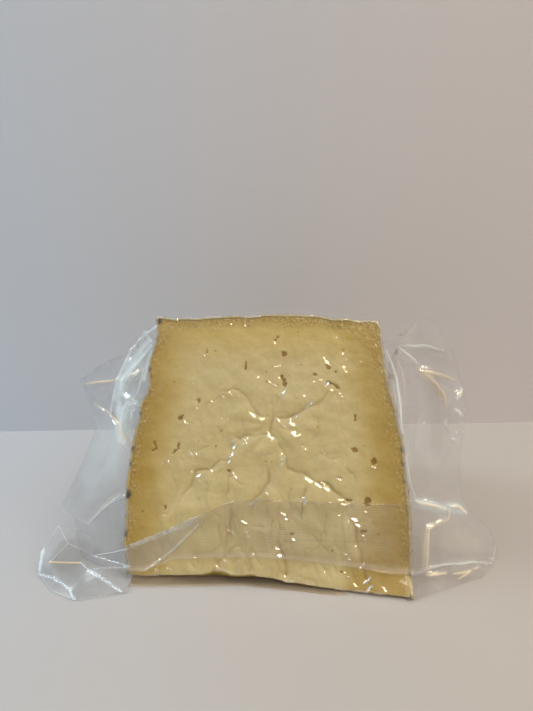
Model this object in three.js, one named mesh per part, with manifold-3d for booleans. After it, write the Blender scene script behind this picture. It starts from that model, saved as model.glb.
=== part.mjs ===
// A wedge of sheep's milk cheese in a clear sealed bag, lying on one of its two cut faces.
// Millimetres, +Z up. X runs along the wheel's axis, which is the wedge's thin edge at the front,
// Y runs back towards the rim, and the origin is the middle of the cut face that the wedge lies on.
import * as THREE from "three";
import { mergeVertices } from "three/addons/utils/BufferGeometryUtils.js";
import Module from "manifold-3d";

const DEGREE = Math.PI / 180;

// The wheel and the wedge cut from it.
const WHEEL_RADIUS = 94;
const WEDGE_ANGLE = 60 * DEGREE;
const TIP_Y = -WHEEL_RADIUS / 2;
const RIM_CROWN = 1.2; // the rim bulges by this much between its two edges
const RIM_CROWN_MIDDLE = -4;
// Each flat side of the wheel: its distance from the middle, how far it rounds over towards the rim,
// where that rounding starts, and how far it draws in at the thin edge.
const LEFT_SIDE = { half: 48.8, shoulder: 5.8, from: 44, drawnIn: 2.4 };
const RIGHT_SIDE = { half: 49.4, shoulder: 8.0, from: 24, drawnIn: 0 };
const SHOULDER_POWER = 1.5;
const DRAWN_IN_REACH = 12;
const SIDE_WAVE = 0.35; // the rind's unevenness
const SIDE_WAVE_LENGTH = 26;

// The thin edge: ragged and a little lifted on the left, sharp and touching on the right.
const TIP_SHARP = 0.6;
const TIP_BLUNT = 2.3;
const TIP_LIFT = 2.0;
const TIP_LIFT_REACH = 16;
const TIP_TURN_FROM = 18;
const TIP_TURN_TO = -8;

// Valleys that the shrunken film presses into the cut face, as points across and up that face.
const VALLEY_DEPTH = 1.1;
const VALLEY_REACH = 2.6;
const FACE_EDGE_FADE = 7;
const VALLEYS = [
  [[-17, 64], [-8, 65], [-4, 58], [2, 57]],
  [[2, 57], [11, 58.5], [23, 68]],
  [[2, 57], [2, 51], [8, 42], [8, 38], [20, 35], [28, 27]],
  [[2, 51], [-8, 50], [-12, 41], [-23, 38], [-28, 27]],
  [[2, 39], [0, 31], [-4, 22]],
];

// The seal band of the bag, folded up over the lower part of the cut face.
const BAND_THICK = 1.0;
const BAND_SUNK = 1.6; // how far its solid reaches into the cheese
const BAND_OUTLINE = [
  [50, 8.8], [50, 28.6], [-3, 28], [-13, 25.5], [-25, 19.5], [-47.5, 10.6], [-47, 5.5],
  [-34.5, 4.5], [-24, 8.6],
];

// The two side wings of the bag: sheets that carry on from the edges of the cut face, turned back
// by an angle. An outline point is the distance out from that edge and the distance up along it, and
// foot is how much of the sheet is bent forward to lie on the ground.
const SHEET_THICK = 1.4;
const ROOT_THICK = 9; // the two layers stand apart where they leave the cheese
const ROOT_REACH = 13;
const ROOT_INSIDE = 9; // the sheet starts this far inside the edge, sunk under the cut face
const ROOT_SUNK = 2;
const LEFT_WING = {
  side: -1,
  edgeX: 47.5,
  turnedBack: 23.4 * DEGREE,
  foot: 0,
  root: [3, 88],
  outline: [
    [0, 3], [10, 3.4], [20, 5.8], [24, 13], [25.5, 19.4], [30.7, 22], [32.8, 24.5], [31.7, 27.5],
    [27.6, 35], [22.1, 46.2], [19.6, 53.8], [25.9, 63.8], [31.6, 72.3], [16.5, 79.1], [6.4, 81],
    [2.8, 84.2], [0.5, 89.5], [-4.5, 91],
  ],
  folds: [
    { height: 2.2, points: [[2.8, 84], [9.6, 70.2], [16, 57.4]] },
    { height: 1.8, points: [[10, 70.7], [26.8, 69.9]] },
    { height: -1.8, points: [[21.9, 62], [12.1, 55.4], [6.9, 49.6]] },
    { height: 1.6, points: [[2, 30], [18.1, 17.6]] },
  ],
};
const RIGHT_WING = {
  side: 1,
  edgeX: 48.5,
  turnedBack: 27 * DEGREE,
  foot: 7,
  root: [3, 84],
  outline: [
    [0, -1], [8, 0], [18.8, 1.3], [29.9, 2.6], [36.1, 8.3], [37.8, 13], [35.9, 20], [30, 24],
    [24.5, 30], [24, 37], [24.5, 46], [27, 55], [28.6, 64.7], [27, 74], [23.6, 85.4],
    [17.1, 94.4], [11.6, 96.4], [7.8, 95], [2, 86], [-4, 85],
  ],
  folds: [
    { height: 2.0, points: [[9.1, 75.1], [23.6, 73.3]] },
    { height: -2.0, points: [[11.6, 96.4], [9.1, 75.1], [18.4, 65.6], [19.5, 54.3]] },
    { height: 1.6, points: [[2.3, 35.6], [16.4, 28.9]] },
    { height: -1.6, points: [[16.9, 23.6], [8.2, 20.9], [6.4, 9.7]] },
  ],
};
const FOLD_REACH = 3.6;
// Below its fold the right wing runs out forward, as a foot on the surface that the wedge lies on.
const FOOT_FOLD = 6;
const FOOT_FOLD_RISE = 0.12;
const FOOT_LENGTH = 7;
const FOOT_SLANT = 0.15;
const FOOT_CLEAR = 3; // the foot fades out over this distance inside the edge of the cut face

// The left end of the seal band stands as a low tent in front of the left wing. Three lines across
// it, from the cheese outwards: its back edge, its crown and its front edge.
const TENT_BACK = [
  [-42, -43, 9.5], [-51, -42.5, 8], [-59.6, -42.5, 6], [-70.6, -29.3, 11], [-76.7, -32.5, 9],
  [-77.2, -39.1, 6], [-79, -42.5, 3.5], [-77.6, -46.4, 1],
];
const TENT_CROWN = [
  [-40, -46, 6], [-46, -49.5, 5], [-52.6, -52.2, 5], [-59.7, -48, 6.5], [-67.1, -46.5, 6.5],
  [-72.7, -46.2, 4.5], [-76.6, -46.4, 2], [-77.8, -46.8, 0.8],
];
const TENT_FRONT = [
  [-37, -50, 0.8], [-41.2, -52, 0.8], [-45.2, -55, 0.8], [-49.3, -57.3, 0.8], [-60, -58, 0.8],
  [-70, -54, 0.8], [-75.4, -50.6, 0.8], [-78, -47.2, 0.8],
];

// How finely each surface is divided.
const WEDGE_CELLS = [32, 32, 8];
const WING_CELLS = [30, 9, 1];
const TENT_CELLS = [21, 8, 1];
const GRID_STEPS = 1e5;
const WELD = 1e-3;

const wasm = await Module();
wasm.setup();

// 0 before the start, 1 past the end, and a smooth rise between them.
function rise(value, start, end) {
  return THREE.MathUtils.smoothstep((value - start) / (end - start), 0, 1);
}

// A box of cells in which a rule puts each corner in its place.
function mappedBox(cells, place) {
  const box = new THREE.BoxGeometry(1, 1, 1, ...cells);
  box.deleteAttribute("normal");
  box.deleteAttribute("uv");
  const corners = box.getAttribute("position");
  const share = (value) => Math.round((value + 0.5) * GRID_STEPS) / GRID_STEPS;
  for (let i = 0; i < corners.count; i++) {
    const at = place(share(corners.getX(i)), share(corners.getY(i)), share(corners.getZ(i)));
    corners.setXYZ(i, at.x, at.y, at.z);
  }
  return box;
}

// A closed geometry as a solid that can be joined, with its faces pointing out.
function solidOf(geometry) {
  const merged = mergeVertices(geometry, WELD);
  const triVerts = new Uint32Array(merged.index.array);
  const vertProperties = merged.getAttribute("position").array;
  const solid = new wasm.Manifold(new wasm.Mesh({ numProp: 3, vertProperties, triVerts }));
  if (solid.volume() > 0) return solid;
  const turned = new wasm.Mesh({ numProp: 3, vertProperties, triVerts: triVerts.reverse() });
  return new wasm.Manifold(turned);
}

// The point at a share of the length of a line through points.
function along(points, share) {
  const lengths = points.slice(1).map((point, i) => Math.hypot(...point.map((v, k) => v - points[i][k])));
  let left = share * lengths.reduce((sum, length) => sum + length, 0);
  let i = 0;
  while (i < lengths.length - 1 && left > lengths[i]) {
    left -= lengths[i];
    i += 1;
  }
  const part = Math.min(left / lengths[i], 1);
  return points[i].map((value, k) => THREE.MathUtils.lerp(value, points[i + 1][k], part));
}

// The distance in a plane from a point to a line through points.
function distanceTo(points, x, y) {
  const here = new THREE.Vector3(x, y, 0);
  const nearest = new THREE.Vector3();
  const distances = points.slice(1).map((end, i) => {
    const line = new THREE.Line3(new THREE.Vector3(...points[i], 0), new THREE.Vector3(...end, 0));
    return line.closestPointToPoint(here, true, nearest).distanceTo(here);
  });
  return Math.min(...distances);
}

function groove(distance, reach) {
  return Math.exp(-((distance / reach) ** 2));
}

function halfWidth(side, radius) {
  const rounding = Math.max(0, (radius - side.from) / (WHEEL_RADIUS - side.from));
  const shoulder = side.shoulder * rounding ** SHOULDER_POWER;
  const drawnIn = side.drawnIn * Math.max(0, 1 - radius / DRAWN_IN_REACH);
  const wave = SIDE_WAVE * Math.sin(((radius + side.half) / SIDE_WAVE_LENGTH) * 2 * Math.PI);
  return side.half - shoulder - drawnIn + wave;
}

function valleyDepth(x, up) {
  const edge = Math.min(x + LEFT_SIDE.half, RIGHT_SIDE.half - x, up, WHEEL_RADIUS - up);
  const depths = VALLEYS.map((valley) => groove(distanceTo(valley, x, up), VALLEY_REACH));
  return VALLEY_DEPTH * Math.max(...depths) * rise(edge, 0, FACE_EDGE_FADE);
}

// The wedge: across its width, out from the thin edge to the rim, and up from one cut face to the other.
function wedge() {
  return mappedBox(WEDGE_CELLS, (across, outwards, upwards) => {
    const even = outwards * WHEEL_RADIUS;
    const x = THREE.MathUtils.lerp(-halfWidth(LEFT_SIDE, even), halfWidth(RIGHT_SIDE, even), across);
    const blunt = rise(x, TIP_TURN_FROM, TIP_TURN_TO);
    const tip = TIP_SHARP + TIP_BLUNT * blunt;
    const crown = RIM_CROWN * (1 - ((x - RIM_CROWN_MIDDLE) / LEFT_SIDE.half) ** 2);
    const radius = THREE.MathUtils.lerp(tip, WHEEL_RADIUS + crown, outwards);
    const angle = upwards * WEDGE_ANGLE;
    const lift = TIP_LIFT * blunt * Math.max(0, 1 - radius / TIP_LIFT_REACH) ** 2 * (1 - upwards);
    const sunk = upwards === 1 ? valleyDepth(x, radius) : 0;
    const y = TIP_Y + radius * Math.cos(angle) + sunk * Math.sin(angle);
    const z = radius * Math.sin(angle) - sunk * Math.cos(angle) + lift;
    return new THREE.Vector3(x, y, z);
  });
}

// The seal band: its outline on the cut face, given a thickness.
function sealBand() {
  const outline = new THREE.Shape(BAND_OUTLINE.map(([x, up]) => new THREE.Vector2(x, up)));
  const band = new THREE.ExtrudeGeometry(outline, {
    depth: BAND_SUNK + BAND_THICK,
    bevelEnabled: false,
  });
  band.deleteAttribute("normal");
  band.deleteAttribute("uv");
  band.translate(0, 0, -BAND_SUNK);
  band.rotateX(WEDGE_ANGLE);
  band.translate(0, TIP_Y, 0);
  return band;
}

// The place of a point of a wing: out and up from the edge of the cut face, and lifted off the sheet.
// Inside that edge the sheet follows the cut face.
function wingPoint(wing, out, up, lift) {
  const turn = wing.turnedBack;
  const upwards = new THREE.Vector3(0, Math.cos(WEDGE_ANGLE), Math.sin(WEDGE_ANGLE));
  const face = new THREE.Vector3(0, -Math.sin(WEDGE_ANGLE), Math.cos(WEDGE_ANGLE));
  const outwards = new THREE.Vector3(wing.side * Math.cos(turn), 0, 0).addScaledVector(face, -Math.sin(turn));
  const towardsViewer = new THREE.Vector3(wing.side * Math.sin(turn), 0, 0).addScaledVector(face, Math.cos(turn));
  const place = new THREE.Vector3(wing.side * wing.edgeX, TIP_Y, 0).addScaledVector(upwards, up);
  if (out > 0) return place.addScaledVector(outwards, out).addScaledVector(towardsViewer, lift);
  place.x += wing.side * out;
  return place.addScaledVector(face, lift - ROOT_SUNK * rise(-out, 0, ROOT_INSIDE / 2));
}

// One wing: up its outline, out from the cheese to that outline, and from its back layer to its front one.
function wingSheet(wing) {
  return mappedBox(WING_CELLS, (upwards, outwards, layer) => {
    const edge = along(wing.outline, upwards);
    const root = [-ROOT_INSIDE, THREE.MathUtils.lerp(...wing.root, upwards)];
    const out = THREE.MathUtils.lerp(root[0], edge[0], outwards);
    const up = THREE.MathUtils.lerp(root[1], edge[1], outwards);
    const folds = wing.folds.map((fold) => fold.height * groove(distanceTo(fold.points, out, up), FOLD_REACH));
    const folded = folds.reduce((sum, height) => sum + height, 0) * rise(out, 0, ROOT_REACH / 2);
    const apart = (ROOT_THICK - SHEET_THICK) * rise(out, ROOT_REACH, 0) ** 2;
    const lift = layer > 0.5 ? folded + SHEET_THICK / 2 : folded - SHEET_THICK / 2 - apart;
    const fold = FOOT_FOLD + FOOT_FOLD_RISE * Math.max(0, out);
    const clear = rise(out, -FOOT_CLEAR, 0);
    const below = wing.foot * clear * THREE.MathUtils.clamp((fold - up) / FOOT_LENGTH, 0, 1);
    const at = wingPoint(wing, out, up + below, lift);
    const floor = layer > 0.5 ? SHEET_THICK : 0;
    at.x -= FOOT_SLANT * below;
    at.y -= below;
    at.z = Math.max(THREE.MathUtils.lerp(at.z, floor, below / FOOT_LENGTH), floor);
    return at;
  });
}

// The tent: out along its three lines, forward from its back edge to its front one, and up from the ground.
function bandTent() {
  return mappedBox(TENT_CELLS, (outwards, forwards, height) => {
    const back = along(TENT_BACK, outwards);
    const crown = along(TENT_CROWN, outwards);
    const front = along(TENT_FRONT, outwards);
    const near = forwards < 0.5 ? back : crown;
    const far = forwards < 0.5 ? crown : front;
    const part = forwards < 0.5 ? forwards * 2 : forwards * 2 - 1;
    const [x, y, z] = near.map((value, k) => THREE.MathUtils.lerp(value, far[k], part));
    return new THREE.Vector3(x, y, z * height);
  });
}

// The wrapped wedge as one solid: film, wings and band lie on the cheese all over.
function sealedWedge() {
  const pieces = [sealBand(), wingSheet(LEFT_WING), wingSheet(RIGHT_WING), bandTent()];
  const joined = pieces.reduce((whole, piece) => whole.add(solidOf(piece)), solidOf(wedge()));
  const mesh = joined.getMesh();
  const geometry = new THREE.BufferGeometry();
  geometry.setAttribute("position", new THREE.BufferAttribute(mesh.vertProperties, mesh.numProp));
  geometry.setIndex(new THREE.BufferAttribute(mesh.triVerts, 1));
  geometry.computeVertexNormals();
  return geometry;
}

const paste = new THREE.MeshStandardMaterial({ color: "#cdbb7c", roughness: 0.35, metalness: 0 });
const cheese = new THREE.Mesh(sealedWedge(), paste);
cheese.name = "sealed_cheese";

const group = new THREE.Group();
group.add(cheese);

export default group;
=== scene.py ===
import math

import bpy
import numpy as np
from bpy.props import FloatProperty, FloatVectorProperty, IntProperty, PointerProperty
from mathutils import Matrix, Vector


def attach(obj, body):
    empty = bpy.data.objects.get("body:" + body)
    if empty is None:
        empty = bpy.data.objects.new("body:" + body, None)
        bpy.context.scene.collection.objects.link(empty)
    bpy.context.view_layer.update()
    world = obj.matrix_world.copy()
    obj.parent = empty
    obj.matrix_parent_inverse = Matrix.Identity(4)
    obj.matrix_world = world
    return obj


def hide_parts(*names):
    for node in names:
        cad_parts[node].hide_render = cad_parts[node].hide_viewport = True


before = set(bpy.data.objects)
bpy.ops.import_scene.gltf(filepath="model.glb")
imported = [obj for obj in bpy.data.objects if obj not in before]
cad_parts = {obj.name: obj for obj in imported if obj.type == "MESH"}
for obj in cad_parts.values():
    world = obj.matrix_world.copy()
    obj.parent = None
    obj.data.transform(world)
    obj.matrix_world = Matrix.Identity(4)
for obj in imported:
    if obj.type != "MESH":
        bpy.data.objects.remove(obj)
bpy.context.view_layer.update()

bl_info = {
    "name": "Sealed Cheese Wedge",
    "version": (1, 0, 0),
    "blender": (4, 5, 0),
    "location": "View3D > Sidebar > Cheese",
    "description": "A wedge of sheep's milk cheese in a clear sealed bag",
    "category": "Add Mesh",
}

# Every table of shapes below is in millimetres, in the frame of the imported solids.
MM = 0.001
WEDGE_ANGLE = math.radians(60)
UP_FACE = np.array([0, math.cos(WEDGE_ANGLE), math.sin(WEDGE_ANGLE)])
OFF_FACE = np.array([0, -math.sin(WEDGE_ANGLE), math.cos(WEDGE_ANGLE)])
FAR = 1e6
TINY = 1e-6

# The flat sides of the wheel and its rim.
LEFT_SIDE = {"shoulder": 5.8, "from": 44, "drawn_in": 2.4}
RIGHT_SIDE = {"shoulder": 8.0, "from": 24, "drawn_in": 0}
SHOULDER_POWER = 1.5
DRAWN_IN_REACH = 12
SIDE_WAVE = 0.35
SIDE_WAVE_LENGTH = 26
RIM_CROWN = 1.2
RIM_CROWN_MIDDLE = -4
TIP_LEAST = 0.12
TIP_INSET = 0.5
TIP_SHARP = 0.6
TIP_BLUNT = 2.3
TIP_LIFT = 2.0
TIP_LIFT_REACH = 16
TIP_TURN = (18, -8)
TIP_MIDDLE = 12  # the thin edge changes from its left to its right end between -12 and 12
TIP_UNDERCUT = 6.5
# The right end of the thin edge stands this much further forward, from here across, near the table.
TOE_OUT = 4.2
TOE_FROM = (8, 50)
TOE_REACH = 9

# How high the bodies stand off the table, how many times their edge is spun down, their cells, and
# how much smaller the last ring of corners underneath is.
FLOOR = {"paste": 0.35, "rind": 0.3, "rind_least": 0.2, "film": 0.03}
SPIN_STEPS = {"paste": 8, "film": 24}
CELLS = {"rind": (240, 72), "wing": (230, 80), "band": (230, 60), "under": (90, 24)}
FEWER_FILM_CELLS = 28
INNER_RING = 0.62
PASTE_INSET = 0.75  # of the rind's thickness

# Outline of the cut face: (up the face, across), and for its top and bottom (across, up the face).
CUT_LEFT = [
    (0, -45.8), (2.3, -46), (10, -48), (20, -48), (30, -49), (40, -48.5), (47, -48), (52, -47.1),
    (55, -46.6), (61, -46.6), (63, -45.2), (67, -43.9), (70, -44.6), (76, -44.8), (79, -44.3),
    (83, -43.2), (86, -42.5), (94, -43.5),
]
CUT_RIGHT = [
    (0, 49.3), (5, 49.1), (13, 49.7), (24, 49.7), (29, 49.3), (40, 48.6), (46, 48.4), (50, 48),
    (55, 46.7), (61, 46), (64, 45), (68, 44.1), (72, 43.4), (77, 42.4), (81, 42.2), (86, 41.7),
    (91, 41.5), (94, 40.2),
]
CUT_TOP = [
    (-44, 94.4), (-42, 94.8), (-36, 93.9), (-33, 94.4), (-27, 94.2), (-22, 94.8), (-12, 95.3),
    (-7, 94.9), (-1.6, 95.8), (10, 95.7), (19, 95.2), (24, 94.1), (30, 94.1), (33, 93.3),
    (42, 93.5),
]
CUT_BOTTOM = [
    (-48, 1.6), (-40, 1.2), (-30, 1.9), (-20, 2.7), (-17.4, 3.7), (-16.5, 4.6), (-13.8, 4.3),
    (-11, 3.6), (-10, 2.9), (-6, 3), (-3, 3.6), (-1, 2.8), (4, 2.4), (8.8, 1.1), (12, 1.5),
    (20, 0.5), (50, 0.3),
]
# The outline's own unevenness fades out from the cut face to this share of the angle.
CUT_FADE = 0.8
OUTLINE_MARGIN = 0.15
# Small unevenness, each layer a height, a size and a seed.
RAGGED = {"left": (0.25, 1.6, 11), "right": (0.2, 1.6, 12), "rim": (0.2, 1.8, 13)}
CREASE_WANDER = ((0.55, 3.4, 23), (0.55, 3.4, 24))
FILM_WRINKLES = ((0.05, 4.6, 31), (0.05, 2.2, 32))
EYE_WANDER = ((0.5, 1.1, 41), (0.25, 0.7, 42))
FILM_STAND = 0.12  # how far the film stands off its gap between the wrinkles

# Creases that the shrunken film presses into the cut face: depth, reach, points across and up.
VALLEYS = [
    (0.9, 1.2, [(-17, 65.8), (-13, 66.4), (-9.9, 66.7), (-7.5, 64.2), (-5.6, 60.6), (-3.8, 58.4),
        (-1.6, 57), (2, 57)]),
    (0.8, 1.1, [(-11, 49.6), (-9.5, 48.7), (-6.6, 49.8), (-3.8, 49.9), (-0.2, 50.5), (2, 51)]),
    (1.0, 1.1, [(1.9, 59.9), (2.5, 57.3), (1.5, 53.6), (2.1, 51.3), (4.7, 48), (5.8, 45.9),
        (7.7, 42.9), (8.1, 38.8), (11.1, 37.9), (14.4, 37.3), (17.4, 35.4), (20.4, 34.3),
        (23.8, 32.5), (26.4, 30.6), (28.6, 28.4), (30.1, 26.1)]),
    (0.7, 0.8, [(3.6, 65.2), (3.4, 61), (2.4, 58)]),
    (0.5, 0.7, [(1.2, 62.6), (2, 59.8)]),
    (0.9, 1.2, [(2.5, 57.3), (5.5, 56.8), (9.2, 56.9), (11.1, 58.4), (14.8, 60.3), (18.9, 62.2),
        (21.9, 65.2), (23.5, 67)]),
    (0.45, 0.6, [(5.5, 79.3), (5.3, 74.9)]),
    (0.45, 1.4, [(18.3, 56.9), (18.7, 51.3), (15.9, 48.4)]),
    (0.8, 1.1, [(-11.5, 48), (-12, 44), (-12.8, 41), (-15.6, 41), (-17.8, 39.7), (-20, 38.1),
        (-24.3, 37.4), (-25.4, 33.8), (-27.2, 30.2), (-29, 26.6)]),
    (0.6, 1.0, [(-12, 37), (-12.4, 32), (-13.1, 28.4)]),
    (0.7, 1.0, [(-11.3, 26.6), (-11.3, 18.3), (-13, 10.4)]),
    (0.9, 1.1, [(1.4, 38.8), (1.5, 34.3), (0.2, 31.7), (-2.3, 28.8), (-3.9, 26.6), (-4, 22.5)]),
    (0.7, 1.2, [(14.8, 32.8), (13.9, 29.8), (13.3, 26.1), (12.9, 21.6)]),
    (0.9, 1.0, [(30.5, 23.1), (31.6, 18.3), (32.3, 14.5), (33.5, 8.9), (34.6, 5.2), (35.3, 1.8)]),
    (0.9, 1.0, [(5.5, 14.5), (7, 10.8), (8.1, 7.1), (8.8, 3)]),
    (0.4, 1.2, [(-16.5, 64.5), (-22, 61), (-24, 55), (-22, 50)]),
    (0.35, 1.2, [(24, 66.5), (27, 62), (26, 55), (28, 49)]),
    (0.45, 1.0, [(-30, 43), (-24, 44), (-20, 46)]),
    (0.5, 0.8, [(-12.6, 36), (-9.6, 34.2), (-6.8, 32.6)]),
    (0.5, 0.8, [(-6.4, 60.4), (-8.4, 55), (-8, 51)]),
    (0.45, 0.9, [(-20.6, 34), (-19.6, 29), (-20.4, 25)]),
    (0.5, 0.9, [(5.6, 26.6), (5, 22), (5.8, 18)]),
    (0.5, 0.9, [(21.6, 24.8), (20.9, 19), (21.6, 12)]),
    (0.5, 0.9, [(-3.6, 12), (-4.4, 8), (-3.4, 3.6)]),
    (0.6, 0.8, [(-16.5, 4.6), (-13, 9), (-10, 12.5)]),
    (0.45, 0.9, [(9.6, 33), (8.6, 29.6), (9.4, 25)]),
    (0.4, 0.8, [(19, 44.6), (23, 42.6), (27, 43.6)]),
    (0.4, 0.8, [(10.4, 52.6), (12.2, 49.6), (11, 46.4)]),
    (0.4, 0.8, [(-18.6, 53.4), (-15.4, 50.6), (-16.6, 46)]),
    (0.4, 0.9, [(-33, 34.6), (-30.6, 31), (-31.4, 26)]),
    (0.4, 0.9, [(27.4, 40), (31, 37.4), (32, 33)]),
]
# Pillows of paste that stand up between the creases: height, reach, points.
SWELLS = [
    (0.5, 3.2, [(15, 26), (15.4, 19), (15, 12)]),
    (0.5, 3.0, [(29.3, 20), (30, 14), (31.5, 8)]),
    (0.6, 4.0, [(-3, 55), (-7, 58)]),
    (0.5, 3.6, [(-4, 46), (0, 45)]),
    (0.5, 4.0, [(10, 50), (12, 45)]),
    (0.5, 4.0, [(8, 63), (12, 65)]),
    (0.5, 3.6, [(-7, 33), (-6, 28)]),
    (0.4, 3.6, [(-20, 33), (-19, 27)]),
    (0.5, 3.6, [(21, 29), (24, 24)]),
]
FACE_EDGE_FADE = 7
FAN = (2, 54)  # the fine creases run out from here

# Eyes of the cheese: width, depth, points across and up.
EYES = [
    (2.0, 1.5, [(6, 80.5), (6.1, 80.4)]), (1.2, 1.5, [(5.3, 72.1), (6.2, 70.6), (6.4, 68.7)]),
    (1.5, 1.3, [(22, 76.4), (22.5, 75.4)]), (0.9, 1.1, [(22.3, 70), (24.2, 69.2), (26.2, 67.6)]),
    (1.6, 1.4, [(-31.4, 56.1), (-30.8, 56)]), (1.7, 1.5, [(38.1, 41.6), (38.2, 42.2)]), (2.2, 1.5,
    [(35.4, 28.1), (35.7, 28.8)]), (1.6, 0.8, [(31.3, 46), (32, 45.8)]), (1.0, 1.0, [(33.6, 18.6),
    (34.8, 18.8)]), (0.8, 0.8, [(2.2, 85.4), (3.5, 86.8)]), (0.7, 1.0, [(-8.1, 77.4),
    (-8.1, 74.6)]), (0.6, 0.8, [(-23.1, 82), (-22.8, 80.8)]), (1.1, 0.9, [(17.2, 72.8),
    (17.3, 72.7)]), (1.2, 1.0, [(-25, 62.5), (-24.9, 62.2)]), (1.1, 1.0, [(-12.5, 37.4),
    (-12.3, 37.3)]), (0.7, 0.9, [(-40.3, 47.1), (-39.4, 44.6), (-40.8, 43.9)]), (0.8, 1.0,
    [(-31.4, 47), (-31.2, 44.9), (-33.3, 43.3)]), (0.7, 0.5, [(31.8, 58.4), (31.8, 56.2)]), (0.8,
    0.9, [(28.9, 28.8), (29.8, 28.8)]), (0.6, 0.6, [(25.5, 36.3), (26.6, 36.1)]), (0.6, 0.6,
    [(9.6, 17.2), (10.6, 17.2)]), (0.7, 0.7, [(-34.5, 24.8), (-34.5, 23.8)]),
]
SMALL_EYES = [
    (-0.5, 73.5), (0, 69.8), (25.1, 73.7), (12.2, 76.2), (27.7, 82), (11.1, 88.9), (35, 63.7),
    (35, 54.1), (14, 53.7), (18.5, 53.6), (35, 47.2), (2.4, 41), (0.4, 41.2), (15, 42),
    (3.4, 21.3), (4.7, 13.4), (23.6, 12.3), (26.7, 6), (24.5, 41.2), (39, 17.9), (-22.5, 88.1),
    (-26.1, 84), (-19.9, 81.4), (-8.2, 81.7), (-15.9, 78.6), (-27.3, 54.4), (-16, 51.6),
    (-34.5, 69.2), (-24.1, 47.5), (-17.8, 46.2), (-31.3, 38.6), (-23.9, 38.7), (-42.6, 22.8),
    (-22.7, 27.7), (-12.9, 41.2), (-5, 66.3), (33, 86),
]
SMALL_EYE = 0.55
SMALL_EYE_DEPTH = 0.4
EYE_PIT = 0.4
MARK_FADE = 0.8  # the marks run less far onto the paste
# Dark marks of the rind where the cut shows it: size, across, up the face.
RIND_MARKS = [
    (1.4, -42.3, 93), (1.7, -48.4, 28.4), (0.7, -48.5, 44.6), (0.6, -48.1, 39.4),
    (0.6, -47.9, 15.3), (0.8, 47.9, 46.3), (0.7, 48.3, 41.4), (0.6, 48.4, 35.8), (0.6, 49.1, 6.7),
    (0.6, -43.6, 86), (0.6, -44.5, 74), (0.5, -46.9, 57),
]

# Where pleats start, up the cut face on the wheel's sides and across it on the rim.
SIDE_PLEATS = (12, 21, 33, 41, 52, 60, 69, 78, 86)
RIM_PLEATS = (-36, -27, -13, -4, 9, 18, 31, 38)

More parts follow.
